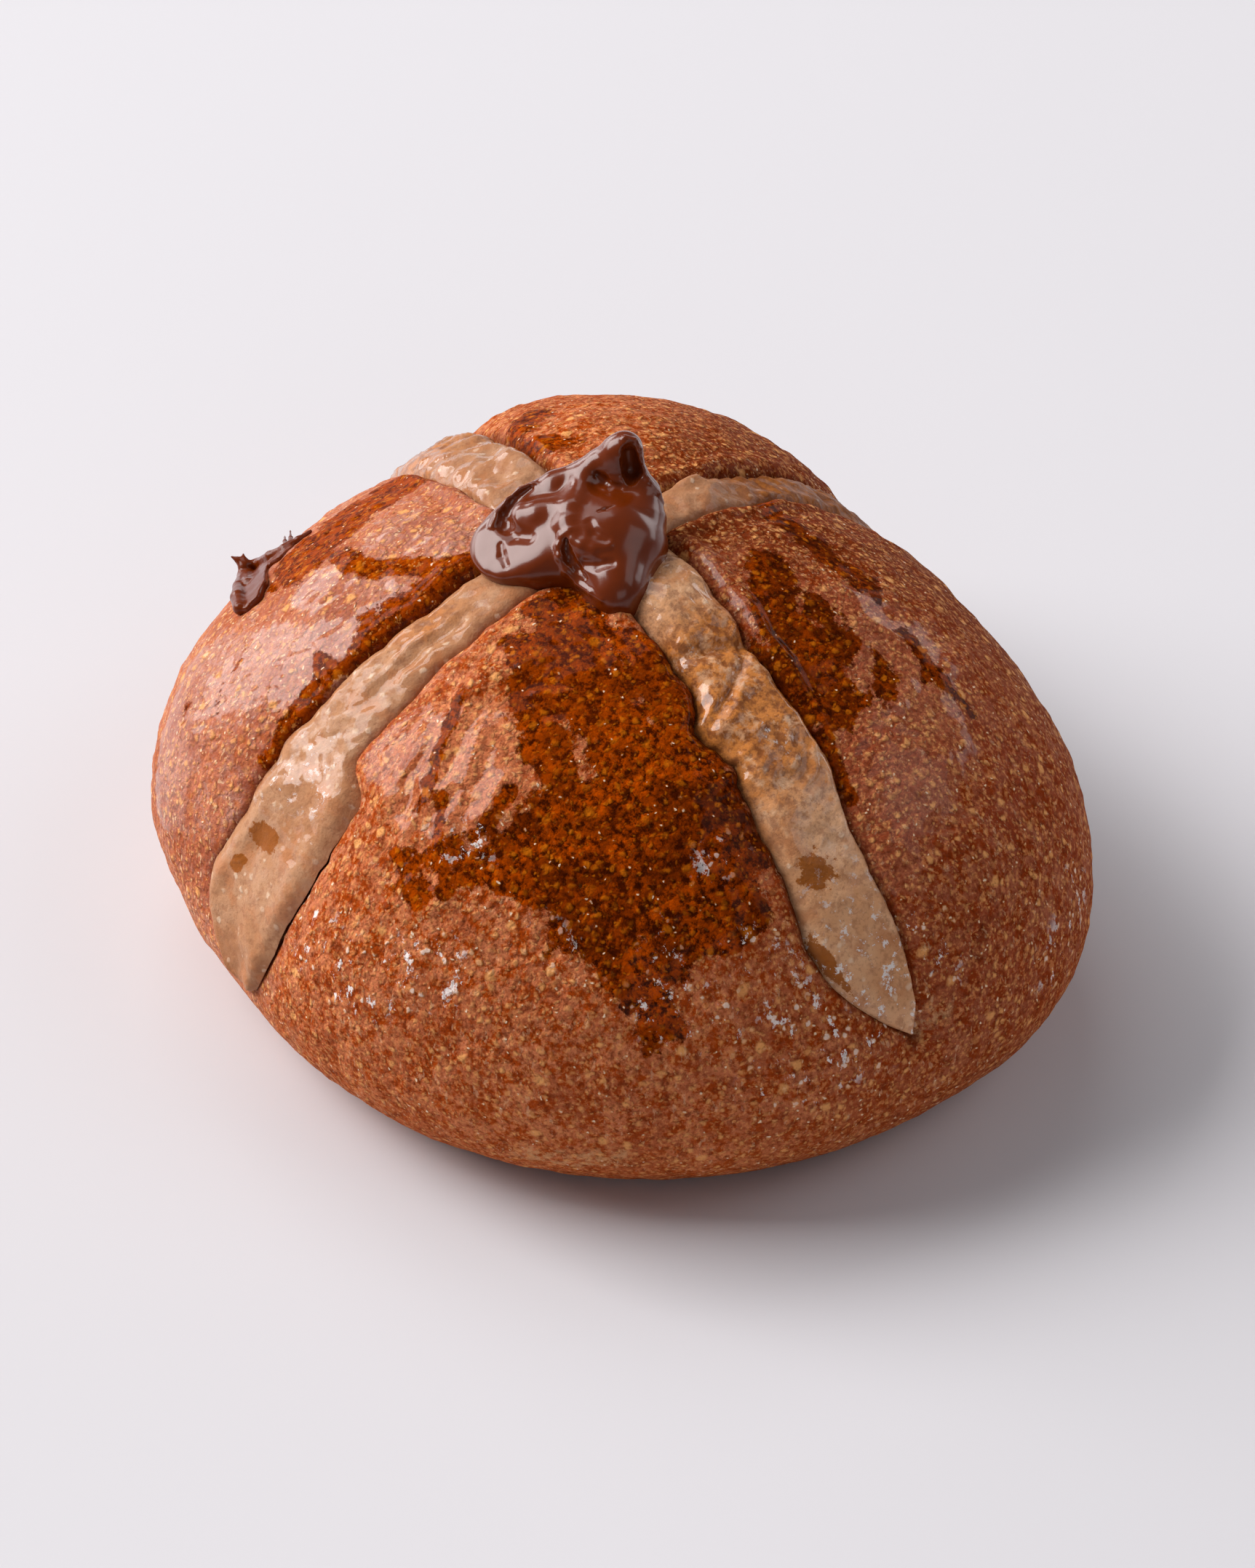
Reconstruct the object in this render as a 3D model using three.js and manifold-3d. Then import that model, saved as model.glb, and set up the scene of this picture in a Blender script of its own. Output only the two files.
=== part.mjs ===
// A chocolate hot cross bun: a soft, slightly squared dome of dough with a piped flour-paste cross sunk between
// its four puffed quarters, a dollop of chocolate spread on the middle of the cross and a small smear on one side.
// Millimetres, +Z up. The origin is the middle of the flat base; the arms of the cross run along +X, +Y, -X and -Y.
import * as THREE from "three";
import { mergeVertices } from "three/addons/utils/BufferGeometryUtils.js";
import Module from "manifold-3d";

const wasm = await Module();
wasm.setup();

// ---- Driving dimensions of the dough ----
const MEAN_RADIUS = 44.9;
const DOME_HEIGHT = 45.7; // of the plain dome, before the quarters puff up
const BELLY_HEIGHT = 11.5; // where the bun is widest
const UNDERSIDE_DROP = 18.5; // how far the lower curve would reach below the belly if the base weren't flat
const DOME_POWER = 1.88; // 2 is an ellipse, less is more pointed
const UNDERSIDE_POWER = 2.2;
const BASE_EDGE_POWER = 9; // sharpness of the edge between the side and the flat base
const PLAN_WAVES = [
  { count: 2, share: 0.076, turn: -18.5 }, // longer along the +X and -X arms
  { count: 3, share: 0.041, turn: 12 }, // a blunt and a fuller end
  { count: 4, share: 0.026, turn: 38 }, // corners between the arms, from baking side by side
  { count: 5, share: 0.011, turn: 2 },
  { count: 6, share: 0.0075, turn: 31 },
]; // each as a share of the radius, with its first crest at turn
const QUARTER_RISE = 1.9; // how far the quarters puff above the plain dome
const QUARTER_SHOULDER = 3.6; // how wide their rounded edges are
const GROOVE_DEPTH = 1.5; // the floor under the paste, below the plain dome
const GROOVE_FLANK = 1.2; // the grooves' sides slope over this far to either side of the paste's edges
const CREST = { low: 6, high: 28 }; // the quarters fade out between these heights
const BASE_ROUNDING = [0.8, 0.93]; // the base is quite flat out to this share of its radius, and rounds off by that
const SWELLS = [
  { amount: 0.2, x: 0.11, y: 0.05, z: 0.06, phase: 0.4 },
  { amount: 0.15, x: -0.07, y: 0.15, z: 0.1, phase: 2.1 },
  { amount: 0.1, x: 0.21, y: 0.17, z: -0.13, phase: 4.0 },
]; // slow waves that make the dough uneven

// ---- Driving dimensions of the paste cross ----
// Each arm runs towards direction. Its left and right sides, looking down the arm from the middle of the bun, lie
// start + slope * t + bend * t * t to the left of the line through the middle, t being 0 at the top and 1 at the
// belly. Beyond flareFrom the left side is wider by flare. From closeFrom the sides curve in and meet at end, as a
// round tongue if blunt is 0.5 and as a point if it is 1. Its tip lies at a share of the way from right to left.
const ARMS = [
  {
    direction: 270,
    right: { start: -4.6, slope: -17.4, bend: 3.2 },
    left: { start: -1, slope: -3.8, bend: -6.8 },
    tip: 0.85,
    flare: 4.2,
    flareFrom: 0.575,
    closeFrom: 0.87,
    end: 1.02,
    blunt: 0.6,
    crown: 0.75,
  },
  {
    direction: 0,
    right: { start: -2.2, slope: -18.2, bend: 3.4 },
    left: { start: 4.4, slope: -9.6, bend: -4.2 },
    tip: 1,
    flare: 0,
    flareFrom: 1,
    closeFrom: 0.74,
    end: 0.92,
    blunt: 1,
    crown: 0.6,
  },
  {
    direction: 90,
    right: { start: -1.4, slope: -0.4, bend: -1 },
    left: { start: 3.6, slope: 0, bend: -1.4 },
    tip: 0.5,
    flare: 0,
    flareFrom: 1,
    closeFrom: 0.78,
    end: 0.92,
    blunt: 0.5,
    crown: 0.4,
  },
  {
    direction: 180,
    right: { start: -1.5, slope: -12, bend: -13 },
    left: { start: 5.2, slope: -9, bend: -11 },
    tip: 0.5,
    flare: 0,
    flareFrom: 1,
    closeFrom: 0.8,
    end: 0.94,
    blunt: 0.5,
    crown: 0.55,
  },
];
const FLARE_LENGTH = 0.07; // of t, over which a flare opens
const PASTE_EDGE = 0.7; // how far the paste's edge lies below its crown
const PASTE_SINK = 2.6; // how far the strips reach down before the dough is cut out of them
const STRIP_START = -0.1; // of t: the strips start just past the middle of the bun, so that they cross
const CENTRE_KNOB = { x: 0, y: 9.6, radius: 3.1, height: 2.1 }; // paste piled up beside the dollop

// ---- Driving dimensions of the spread ----
const DOLLOP = { x: -2.4, y: -2.4, radius: 8.4, height: 5.6, stretch: 1.12, turn: 20 };
const DOLLOP_FOLDS = { count: 3, share: 0.085, turn: 35 };
const PEAK = { x: 0.4, y: 2.6, radius: 3.4, height: 6.5, lean: 2.6, leanTurn: 160 };
const KNEE = { x: 2.6, y: -4.4, radius: 3.6, height: 3.6 };
const SMEAR = { direction: 204.5, rise: 28, slant: 27, length: 15, width: 4.4, thickness: 0.75 };
const SMEAR_DRIP = { from: -2.5, to: 5, below: 1.5, radius: 0.6 }; // along the smear's lower edge

const FACE_CELLS = 24; // cells along each edge of the cube that the dough's mesh comes from
const MIDDLE_SPACING = 0.5; // spacing of its lines along the arms of the cross, as a share of an even spacing
const STRIP_ROWS = 24; // rows of points along a strip of paste
const STRIP_CELLS = 6; // cells across it
const GAP = 0.35; // clearance between touching pieces
const SLIVER = 0.05; // details finer than this are smoothed out of the cut pieces
const radians = THREE.MathUtils.degToRad;
const smooth = THREE.MathUtils.smoothstep;

// ---- The dough's surface ----

function planRadius(angle) {
  const waves = PLAN_WAVES.map(({ count, share, turn }) => share * Math.cos(count * (angle - radians(turn))));
  return MEAN_RADIUS * (1 + waves.reduce((sum, w) => sum + w, 0));
}

// Distance of the plain dome from the middle of the belly, in the direction of a turn and a rise in radians.
function plainRadius(turn, rise) {
  const out = Math.abs(Math.cos(rise)) / planRadius(turn);
  const up = Math.abs(Math.sin(rise));
  if (rise >= 0) {
    const dome = DOME_HEIGHT - BELLY_HEIGHT;
    return (out ** DOME_POWER + (up / dome) ** DOME_POWER) ** (-1 / DOME_POWER);
  }
  const side = (out ** UNDERSIDE_POWER + (up / UNDERSIDE_DROP) ** UNDERSIDE_POWER) ** (-1 / UNDERSIDE_POWER);
  const base = BELLY_HEIGHT / Math.max(up, 1e-6);
  return (side ** -BASE_EDGE_POWER + base ** -BASE_EDGE_POWER) ** (-1 / BASE_EDGE_POWER);
}

// How far down an arm a point lies, 0 at the top and 1 at the belly, from its distance u from the upright line
// through the middle of the bun.
function armShare(u, z) {
  return 1 - Math.atan2(z - BELLY_HEIGHT, u) / (Math.PI / 2);
}

function sideAt({ start, slope, bend }, t) {
  return start + slope * t + bend * t * t;
}

// The left and right sides of an arm at a share of the way down.
function armSides(arm, t) {
  const left = sideAt(arm.left, t) + arm.flare * smooth(t, arm.flareFrom, arm.flareFrom + FLARE_LENGTH);
  const right = sideAt(arm.right, t);
  const tip = right + (left - right) * arm.tip;
  const closing = THREE.MathUtils.clamp((t - arm.closeFrom) / (arm.end - arm.closeFrom), 0, 1);
  const open = (1 - closing * closing) ** arm.blunt;
  return { left: tip + (left - tip) * open, right: tip + (right - tip) * open };
}

// How far a point of the plain dome lies outside an arm; negative under the paste.
function gapToArm(arm, x, y, z) {
  const turn = radians(arm.direction);
  const u = x * Math.cos(turn) + y * Math.sin(turn);
  const v = -x * Math.sin(turn) + y * Math.cos(turn);
  const share = armShare(u, z);
  const { left, right } = armSides(arm, Math.max(share, 0));
  const beside = Math.max(v - left, right - v);
  const behind = Math.max(0, -u);
  const beyond = Math.max(0, share - arm.end) * (Math.PI / 2) * MEAN_RADIUS;
  return Math.hypot(Math.max(beside, 0), behind, beyond) + Math.min(beside, 0);
}

// Height of the puffed quarters, the grooves between them and the slow swells, above the plain dome.
function relief(x, y, z) {
  let shoulders = 1;
  let floor = 0;
  for (const arm of ARMS) {
    const gap = gapToArm(arm, x, y, z);
    shoulders *= 1 - Math.exp(-Math.max(gap, 0) / QUARTER_SHOULDER);
    floor = Math.max(floor, 1 - smooth(gap, -GROOVE_FLANK, GROOVE_FLANK));
  }
  const crest = smooth(z, CREST.low, CREST.high);
  const groove = GROOVE_DEPTH * (0.35 + 0.65 * crest) * floor * smooth(z, 3, 12);
  const swell = SWELLS.reduce((sum, s) => sum + s.amount * Math.sin(s.x * x + s.y * y + s.z * z + s.phase), 0);
  return crest * QUARTER_RISE * shoulders - groove + swell * smooth(z, 2, 14);
}

function doughRadius(turn, rise) {
  const plain = plainRadius(turn, rise);
  const x = plain * Math.cos(rise) * Math.cos(turn);
  const y = plain * Math.cos(rise) * Math.sin(turn);
  return plain + relief(x, y, BELLY_HEIGHT + plain * Math.sin(rise));
}

// ---- Meshes ----

function solidFrom(positions, indices) {
  const geometry = new THREE.BufferGeometry();
  geometry.setAttribute("position", new THREE.Float32BufferAttribute(positions, 3));
  geometry.setIndex(indices);
  const merged = mergeVertices(geometry, 1e-4);
  return new wasm.Manifold(
    new wasm.Mesh({
      numProp: 3,
      vertProperties: new Float32Array(merged.attributes.position.array),
      triVerts: new Uint32Array(merged.index.array),
    }),
  );
}

// Closes a grid of rings between a first and a last point: rings[i][j] is a point, j going round anticlockwise
// as seen from the last point.
function closedRings(first, rings, last) {
  const points = [first, ...rings.flat(), last];
  const around = rings[0].length;
  const at = (i, j) => 1 + i * around + (j % around);
  const indices = [];
  for (let j = 0; j < around; j += 1) {
    indices.push(0, at(0, j + 1), at(0, j));
    for (let i = 0; i + 1 < rings.length; i += 1) {
      indices.push(at(i, j), at(i, j + 1), at(i + 1, j + 1));
      indices.push(at(i, j), at(i + 1, j + 1), at(i + 1, j));
    }
    indices.push(at(rings.length - 1, j), at(rings.length - 1, j + 1), points.length - 1);
  }
  return solidFrom(points.flat(), indices);
}

// How far the middle line of the arms is turned from its direction, blended all the way round.
function armTwist(turn) {
  let twist = 0;
  for (const arm of ARMS) {
    const away = turn - radians(arm.direction);
    const share = (1 + 2 * Math.cos(away) + Math.cos(2 * away)) / 4;
    const { left, right } = armSides(arm, 0.7);
    twist += share * Math.atan((left + right) / 2 / (MEAN_RADIUS * Math.sin(0.7 * (Math.PI / 2))));
  }
  return twist;
}

// A share from -1 to 1 across a face of the cube, as the slope of its line of sight: close together in the middle.
function faceSlope(share) {
  return Math.tan((Math.PI / 4) * share * (MIDDLE_SPACING + (1 - MIDDLE_SPACING) * share * share));
}

// A point of the dough's surface in the direction of a vector, once the grid is turned to follow the arms.
function doughPoint(direction, grow) {
  const [x, y, z] = direction;
  const turn = Math.atan2(y, x) + (Math.hypot(x, y) > 1e-9 ? armTwist(Math.atan2(y, x)) : 0);
  const rise = Math.atan2(z, Math.hypot(x, y));
  const r = doughRadius(turn, rise);
  const out = r * Math.cos(rise);
  const pressed = rise < 0 ? smooth(out / planRadius(turn), ...BASE_ROUNDING) : 1;
  const above = (BELLY_HEIGHT + r * Math.sin(rise)) * pressed;
  const wide = out + grow * Math.cos(rise);
  return [wide * Math.cos(turn), wide * Math.sin(turn), above + grow * Math.sin(rise)];
}

// The dough as a cube blown up to its surface, so that the lines of its mesh run along the arms of the cross.
function dough(grow = 0) {
  const faces = [
    [[0, 0, 1], [1, 0, 0], [0, 1, 0]],
    [[0, 0, -1], [0, 1, 0], [1, 0, 0]],
    [[1, 0, 0], [0, 1, 0], [0, 0, 1]],
    [[-1, 0, 0], [0, 0, 1], [0, 1, 0]],
    [[0, 1, 0], [0, 0, 1], [1, 0, 0]],
    [[0, -1, 0], [1, 0, 0], [0, 0, 1]],
  ];
  const points = [];
  const indices = [];
  for (const [out, right, up] of faces) {
    const start = points.length;
    for (let i = 0; i <= FACE_CELLS; i += 1) {
      for (let j = 0; j <= FACE_CELLS; j += 1) {
        const a = faceSlope((2 * i) / FACE_CELLS - 1);
        const b = faceSlope((2 * j) / FACE_CELLS - 1);
        points.push(doughPoint([0, 1, 2].map((k) => out[k] + a * right[k] + b * up[k]), grow));
      }
    }
    for (let i = 0; i < FACE_CELLS; i += 1) {
      for (let j = 0; j < FACE_CELLS; j += 1) {
        const at = start + i * (FACE_CELLS + 1) + j;
        const next = at + FACE_CELLS + 1;
        const rising = apart(points[at], points[next + 1]) < apart(points[next], points[at + 1]);
        if (rising) indices.push(at, next, next + 1, at, next + 1, at + 1);
        else indices.push(at, next, at + 1, next, next + 1, at + 1);
      }
    }
  }
  return solidFrom(points.flat(), indices).simplify(SLIVER / 2);
}

// The plain dome's point on the ray from (u, v) = (0, side) at an angle in the arm's upright plane, by bisection.
function domePoint(arm, side, angle) {
  const turn = radians(arm.direction);
  let low = 0;
  let high = 90;
  for (let i = 0; i < 40; i += 1) {
    const middle = (low + high) / 2;
    const u = middle * Math.cos(angle);
    const x = u * Math.cos(turn) - side * Math.sin(turn);
    const y = u * Math.sin(turn) + side * Math.cos(turn);
    const z = middle * Math.sin(angle);
    const inside = Math.hypot(x, y, z) < plainRadius(Math.atan2(y, x), Math.atan2(z, Math.hypot(x, y)));
    if (inside) low = middle;
    else high = middle;
  }
  return (low + high) / 2;
}

// One arm of the cross: rings of points round its section, from past the middle of the cross to its end.
function armStrip(arm, grow = 0) {
  const turn = radians(arm.direction);
  const place = (t, side, above) => {
    const angle = (1 - t) * (Math.PI / 2);
    const r = domePoint(arm, side, angle) + above;
    const u = r * Math.cos(angle);
    const z = BELLY_HEIGHT + r * Math.sin(angle);
    return [u * Math.cos(turn) - side * Math.sin(turn), u * Math.sin(turn) + side * Math.cos(turn), z];
  };
  const rings = [];
  for (let i = 0; i <= STRIP_ROWS; i += 1) {
    const t = STRIP_START + (arm.end - 0.004 - STRIP_START) * (i / STRIP_ROWS) ** 0.9;
    const { left, right } = armSides(arm, Math.max(t, 0));
    const middle = (left + right) / 2;
    const half = (left - right) / 2 + grow;
    const crown = arm.crown * Math.min(1, half / 2);
    const ring = [];
    for (let j = 0; j <= STRIP_CELLS; j += 1) {
      const s = 1 - (2 * j) / STRIP_CELLS;
      ring.push(place(t, middle + s * half, crown - PASTE_EDGE * s ** 4 + grow));
    }
    for (let j = 0; j <= STRIP_CELLS; j += 1) {
      ring.push(place(t, middle + (-1 + (2 * j) / STRIP_CELLS) * half, -PASTE_SINK));
    }
    rings.push(ring);
  }
  return closedRings(average(rings[0]), rings, average(rings[STRIP_ROWS]));
}

function apart(a, b) {
  return Math.hypot(a[0] - b[0], a[1] - b[1], a[2] - b[2]);
}

function average(points) {
  return [0, 1, 2].map((k) => points.reduce((sum, p) => sum + p[k], 0) / points.length);
}

// A rounded lump standing on the dome at (x, y): rings from its foot up to its top, which may lean over.
function lump({ x, y, radius, height, lean = 0, leanTurn = 0, stretch = 1, turn = 0, folds = null, point = 1 }) {
  const around = 26;
  const levels = 8;
  const foot = 3;
  const ground = heightOfPlainDome(x, y);
  const rings = [];
  const ring = (share, z, shift) => {
    const points = [];
    for (let j = 0; j < around; j += 1) {
      const a = (2 * Math.PI * j) / around;
      const fold = folds ? 1 + folds.share * Math.cos(folds.count * (a - radians(folds.turn))) : 1;
      const r = radius * share * fold;
      const px = r * Math.cos(a) * stretch;
      const py = (r * Math.sin(a)) / stretch;
      const c = Math.cos(radians(turn));
      const s = Math.sin(radians(turn));
      points.push([
        x + px * c - py * s + shift * Math.cos(radians(leanTurn)),
        y + px * s + py * c + shift * Math.sin(radians(leanTurn)),
        z,
      ]);
    }
    return points;
  };
  rings.push(ring(0.9, ground - foot, 0));
  for (let i = 0; i < levels; i += 1) {
    const t = i / levels;
    const share = (1 - t ** (2 / point)) ** (0.5 * point);
    rings.push(ring(share, ground + height * t, lean * t * t));
  }
  const top = [
    x + lean * Math.cos(radians(leanTurn)),
    y + lean * Math.sin(radians(leanTurn)),
    ground + height,
  ];
  return closedRings([x, y, ground - foot], rings, top);
}

function heightOfPlainDome(x, y) {
  const out = Math.hypot(x, y) / planRadius(Math.atan2(y, x));
  const dome = DOME_HEIGHT - BELLY_HEIGHT;
  return BELLY_HEIGHT + dome * (1 - Math.min(out, 1) ** DOME_POWER) ** (1 / DOME_POWER);
}

// A thin slanting smear on the side of the dome, with one thick drip along its lower edge.
function smearSolid() {
  const around = 20;
  const turn = radians(SMEAR.direction);
  const rise = radians(SMEAR.rise);
  const slant = radians(SMEAR.slant);
  const radius = doughRadius(turn, rise);
  const place = (along, across, above) => {
    const t = turn + (along * Math.cos(slant) - across * Math.sin(slant)) / (radius * Math.cos(rise));
    const r = rise + (along * Math.sin(slant) + across * Math.cos(slant)) / radius;
    const d = doughRadius(t, r) + above;
    return [
      d * Math.cos(r) * Math.cos(t),
      d * Math.cos(r) * Math.sin(t),
      BELLY_HEIGHT + d * Math.sin(r),
    ];
  };
  const ring = (share, above) => {
    const points = [];
    for (let j = 0; j < around; j += 1) {
      const a = (2 * Math.PI * j) / around;
      const ragged = 1 + 0.12 * Math.cos(3 * a + 0.6) + 0.06 * Math.cos(5 * a);
      const along = (SMEAR.length / 2) * share * ragged * Math.cos(a);
      const across = (SMEAR.width / 2) * share * ragged * Math.sin(a);
      points.push(place(along, across, above));
    }
    return points;
  };
  const film = closedRings(
    place(0, 0, -0.6),
    [ring(0.96, -0.6), ring(1, SMEAR.thickness * 0.4), ring(0.8, SMEAR.thickness * 0.85)],
    place(0, 0, SMEAR.thickness),
  );
  const { from, to, below } = SMEAR_DRIP;
  const drip = closedRings(
    place(from - 0.3, -below, 0.6),
    [...Array(6).keys()].map((i) => {
      const t = i / 5;
      const thick = SMEAR_DRIP.radius * (0.75 + 0.45 * Math.sin(Math.PI * (0.2 + 0.6 * t)));
      return [...Array(8).keys()].map((j) => {
        const a = (2 * Math.PI * j) / 8;
        return place(from + (to - from) * t, thick * Math.cos(a) - below, 0.5 + thick * (0.5 + Math.sin(a)));
      });
    }),
    place(to + 0.3, -below, 0.6),
  );
  return film.add(drip);
}

// ---- Pieces ----

// The largest body of a cut solid, without the slivers the cut leaves in its surface.
function largest(solid) {
  return solid.decompose().reduce((best, s) => (s.volume() > best.volume() ? s : best)).simplify(SLIVER);
}

function crossSolid(grow = 0) {
  const knob = lump({ ...CENTRE_KNOB, radius: CENTRE_KNOB.radius + grow, height: CENTRE_KNOB.height + grow });
  return ARMS.map((arm) => armStrip(arm, grow)).reduce((all, strip) => all.add(strip), knob);
}

function spreadSolid() {
  return lump({ ...DOLLOP, folds: DOLLOP_FOLDS }).add(lump(KNEE)).add(lump({ ...PEAK, height: PEAK.height + 3, point: 1.6 }));
}

function pieceMesh(name, solid, colour, roughness) {
  const { vertProperties, triVerts } = solid.getMesh();
  const geometry = new THREE.BufferGeometry();
  geometry.setAttribute("position", new THREE.BufferAttribute(new Float32Array(vertProperties), 3));
  geometry.setIndex(new THREE.BufferAttribute(new Uint32Array(triVerts), 1));
  geometry.computeVertexNormals();
  const mesh = new THREE.Mesh(geometry, new THREE.MeshStandardMaterial({ color: colour, roughness, metalness: 0 }));
  mesh.name = name;
  return mesh;
}

const grownDough = dough(GAP);
const bun = new THREE.Group();
bun.add(pieceMesh("bun", dough(), 0x8f4a29, 0.45));
bun.add(pieceMesh("cross", largest(crossSolid().subtract(grownDough)), 0xb98f70, 0.5));
bun.add(pieceMesh("spread", largest(spreadSolid().subtract(grownDough).subtract(crossSolid(GAP))), 0x4a1c0c, 0.2));
bun.add(pieceMesh("smear", largest(smearSolid().subtract(grownDough)), 0x4a1c0c, 0.25));

// the origin is under the middle of the whole, seen from above
const middle = new THREE.Box3().setFromObject(bun).getCenter(new THREE.Vector3());
bun.position.set(-middle.x, -middle.y, 0);

export default bun;
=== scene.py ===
"""A chocolate hot cross bun: the glazed crust of its four puffed quarters, the flour-paste cross sunk between
them, a dollop of chocolate spread on the middle of the cross and a small smear of it on one side.

Shapes are worked out in millimetres about the bun's own axis, as in the part's source, and moved into the
row's frame in metres when their meshes are made. Angles are in degrees where they are named values. A turn is
measured round the axis from the +X arm of the cross, and a rise up from the middle of the belly."""

import itertools

import bpy
import numpy as np
from mathutils import Matrix, Vector


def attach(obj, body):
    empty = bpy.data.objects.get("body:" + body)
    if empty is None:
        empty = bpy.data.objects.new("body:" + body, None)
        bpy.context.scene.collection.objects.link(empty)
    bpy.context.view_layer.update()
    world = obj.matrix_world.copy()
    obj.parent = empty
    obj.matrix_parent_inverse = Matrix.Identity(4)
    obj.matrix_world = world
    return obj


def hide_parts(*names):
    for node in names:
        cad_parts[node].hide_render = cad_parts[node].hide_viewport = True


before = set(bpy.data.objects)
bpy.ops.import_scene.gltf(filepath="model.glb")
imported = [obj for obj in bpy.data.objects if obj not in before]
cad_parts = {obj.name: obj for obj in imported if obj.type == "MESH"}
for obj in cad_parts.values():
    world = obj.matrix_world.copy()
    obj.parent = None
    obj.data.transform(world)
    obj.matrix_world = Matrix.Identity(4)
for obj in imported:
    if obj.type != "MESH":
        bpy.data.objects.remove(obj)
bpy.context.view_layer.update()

MM = 0.001
AXIS = np.array([-1.405, 0.358, 0.0])  # where the bun's own axis stands in the row's frame

# ---- The dough, as in the part's source ----
MEAN_RADIUS = 44.9
DOME_HEIGHT = 45.7
BELLY_HEIGHT = 11.5
UNDERSIDE_DROP = 18.5
DOME_POWER = 1.88
UNDERSIDE_POWER = 2.2
BASE_EDGE_POWER = 9
PLAN_WAVES = ((2, 0.076, -18.5), (3, 0.041, 12), (4, 0.026, 38), (5, 0.011, 2), (6, 0.0075, 31))
QUARTER_RISE = 1.9
QUARTER_SHOULDER = 3.6
GROOVE_DEPTH = 1.5
GROOVE_FLANK = 0.8
CREST = (6, 28)
BASE_ROUNDING = (0.8, 0.93)
SWELLS = ((0.2, (0.11, 0.05, 0.06), 0.4), (0.15, (-0.07, 0.15, 0.1), 2.1), (0.1, (0.21, 0.17, -0.13), 4.0))

# ---- The cross, as in the part's source. Pairs are given for the left and the right of an arm ----
# Sides are (start, slope, bend) of the share of the way down, in millimetres to the left of its direction.
# Lips are the rolled edges of the dough: (height, share of the way down where they fade).
# Notches are small steps in a side: (share of the way down, length, how far to the left).
# The paste's edges are sunk by millimetres, and the crust beside them is darkened with painted shade, by the
# shares given for each side.
PLAIN_ARM = dict(tip=0.5, blunt=0.5, flare=0, flare_from=1, sunk=(0.3, 0.3), crease_shading=(0.8, 0.8),
                 notches=((), ()))
ARMS = (
    PLAIN_ARM | dict(
        name="wide", direction=270, sides=((-1.0, -3.8, -6.8), (-4.6, -17.4, 3.2)), tip=0.85, blunt=0.6,
        flare=4.2, flare_from=0.575, close_from=0.87, end=1.02, crown=0.75, sunk=(0.0, 0.5),
        crease_shading=(0.25, 0.9), lips=((0.3, 0.55), (0.6, 0.5)),
        notches=(((0.8, 0.04, 0.4),), ((0.62, 0.03, -0.5), (0.78, 0.05, 0.6)))),
    PLAIN_ARM | dict(
        name="pointed", direction=0, sides=((4.4, -9.6, -4.2), (-2.2, -18.2, 3.4)), tip=1, blunt=1,
        close_from=0.74, end=0.92, crown=0.6, sunk=(0.2, 1.6), crease_shading=(0.7, 1.0),
        lips=((1.0, 0.62), (0.5, 0.5)),
        notches=(((0.36, 0.08, -0.6), (0.66, 0.1, -0.9)),
                 ((0.4, 0.03, -1.1), (0.48, 0.015, 0.6), (0.3, 0.05, 0.5)))),
    PLAIN_ARM | dict(
        name="far", direction=90, sides=((3.6, 0, -1.4), (-1.4, -0.4, -1)),
        close_from=0.78, end=0.92, crown=0.4, lips=((0.5, 0.7), (0.8, 0.6))),
    PLAIN_ARM | dict(
        name="back", direction=180, sides=((5.2, -9, -11), (-1.5, -12, -13)),
        close_from=0.8, end=0.94, crown=0.55, lips=((0.8, 0.7), (0.5, 0.6))),
)
FLARE_LENGTH = 0.07
PASTE_EDGE = 0.7
PASTE_SINK = 2.6
STRIP_START = -0.1


# ---- Small tools ----

def smooth(x, low, high):
    """A smooth step of x from 0 at low to 1 at high."""
    t = np.clip((x - low) / (high - low), 0, 1)
    return t * t * (3 - 2 * t)


def bell(x):
    """A bell curve, 1 in its middle."""
    return np.exp(-(x**2))


def lattice_number(cell, seed):
    """A repeatable number from -1 to 1 for each point of a whole-number lattice."""
    h = cell[..., 0] * 374761393 + cell[..., 1] * 668265263 + cell[..., 2] * 2246822519 + seed * 3266489917
    h = ((h & 0xFFFFFFFF) ^ ((h & 0xFFFFFFFF) >> 15)) * 2246822519 & 0xFFFFFFFF
    h = (h ^ (h >> 13)) * 3266489917 & 0xFFFFFFFF
    return ((h ^ (h >> 16)) & 0xFFFF) / 32767.5 - 1


def noise(points, size, seed):
    """Smooth noise, about -1 to 1, whose features have a size in millimetres (or one for each axis)."""
    q = points / np.asarray(size, float)
    cell = np.floor(q).astype(np.int64)
    f = q - cell
    ease = f * f * f * (f * (f * 6 - 15) + 10)
    total = 0
    for corner in itertools.product((0, 1), repeat=3):
        c = np.array(corner)
        slope = np.stack([lattice_number(cell + c, seed + 101 * k) for k in range(3)], -1)
        total = total + np.where(c, ease, 1 - ease).prod(-1) * (slope * (f - c)).sum(-1)
    return 1.5 * total


def layered(points, size, layers, seed):
    """Noise of a size with ever finer layers of it on top."""
    size = np.asarray(size, float)
    return sum(noise(points, size / 2**k, seed + 17 * k) / 2**k for k in range(layers))


# ---- The dough's surface ----

def plan_radius(turn):
    waves = sum(share * np.cos(n * (turn - np.radians(at))) for n, share, at in PLAN_WAVES)
    return MEAN_RADIUS * (1 + waves)


def round_off(a, b, power):
    """The smaller of the distances 1 / a and 1 / b, rounded off by a power where they are about the same."""
    return (a**power + b**power) ** (-1 / power)


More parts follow.
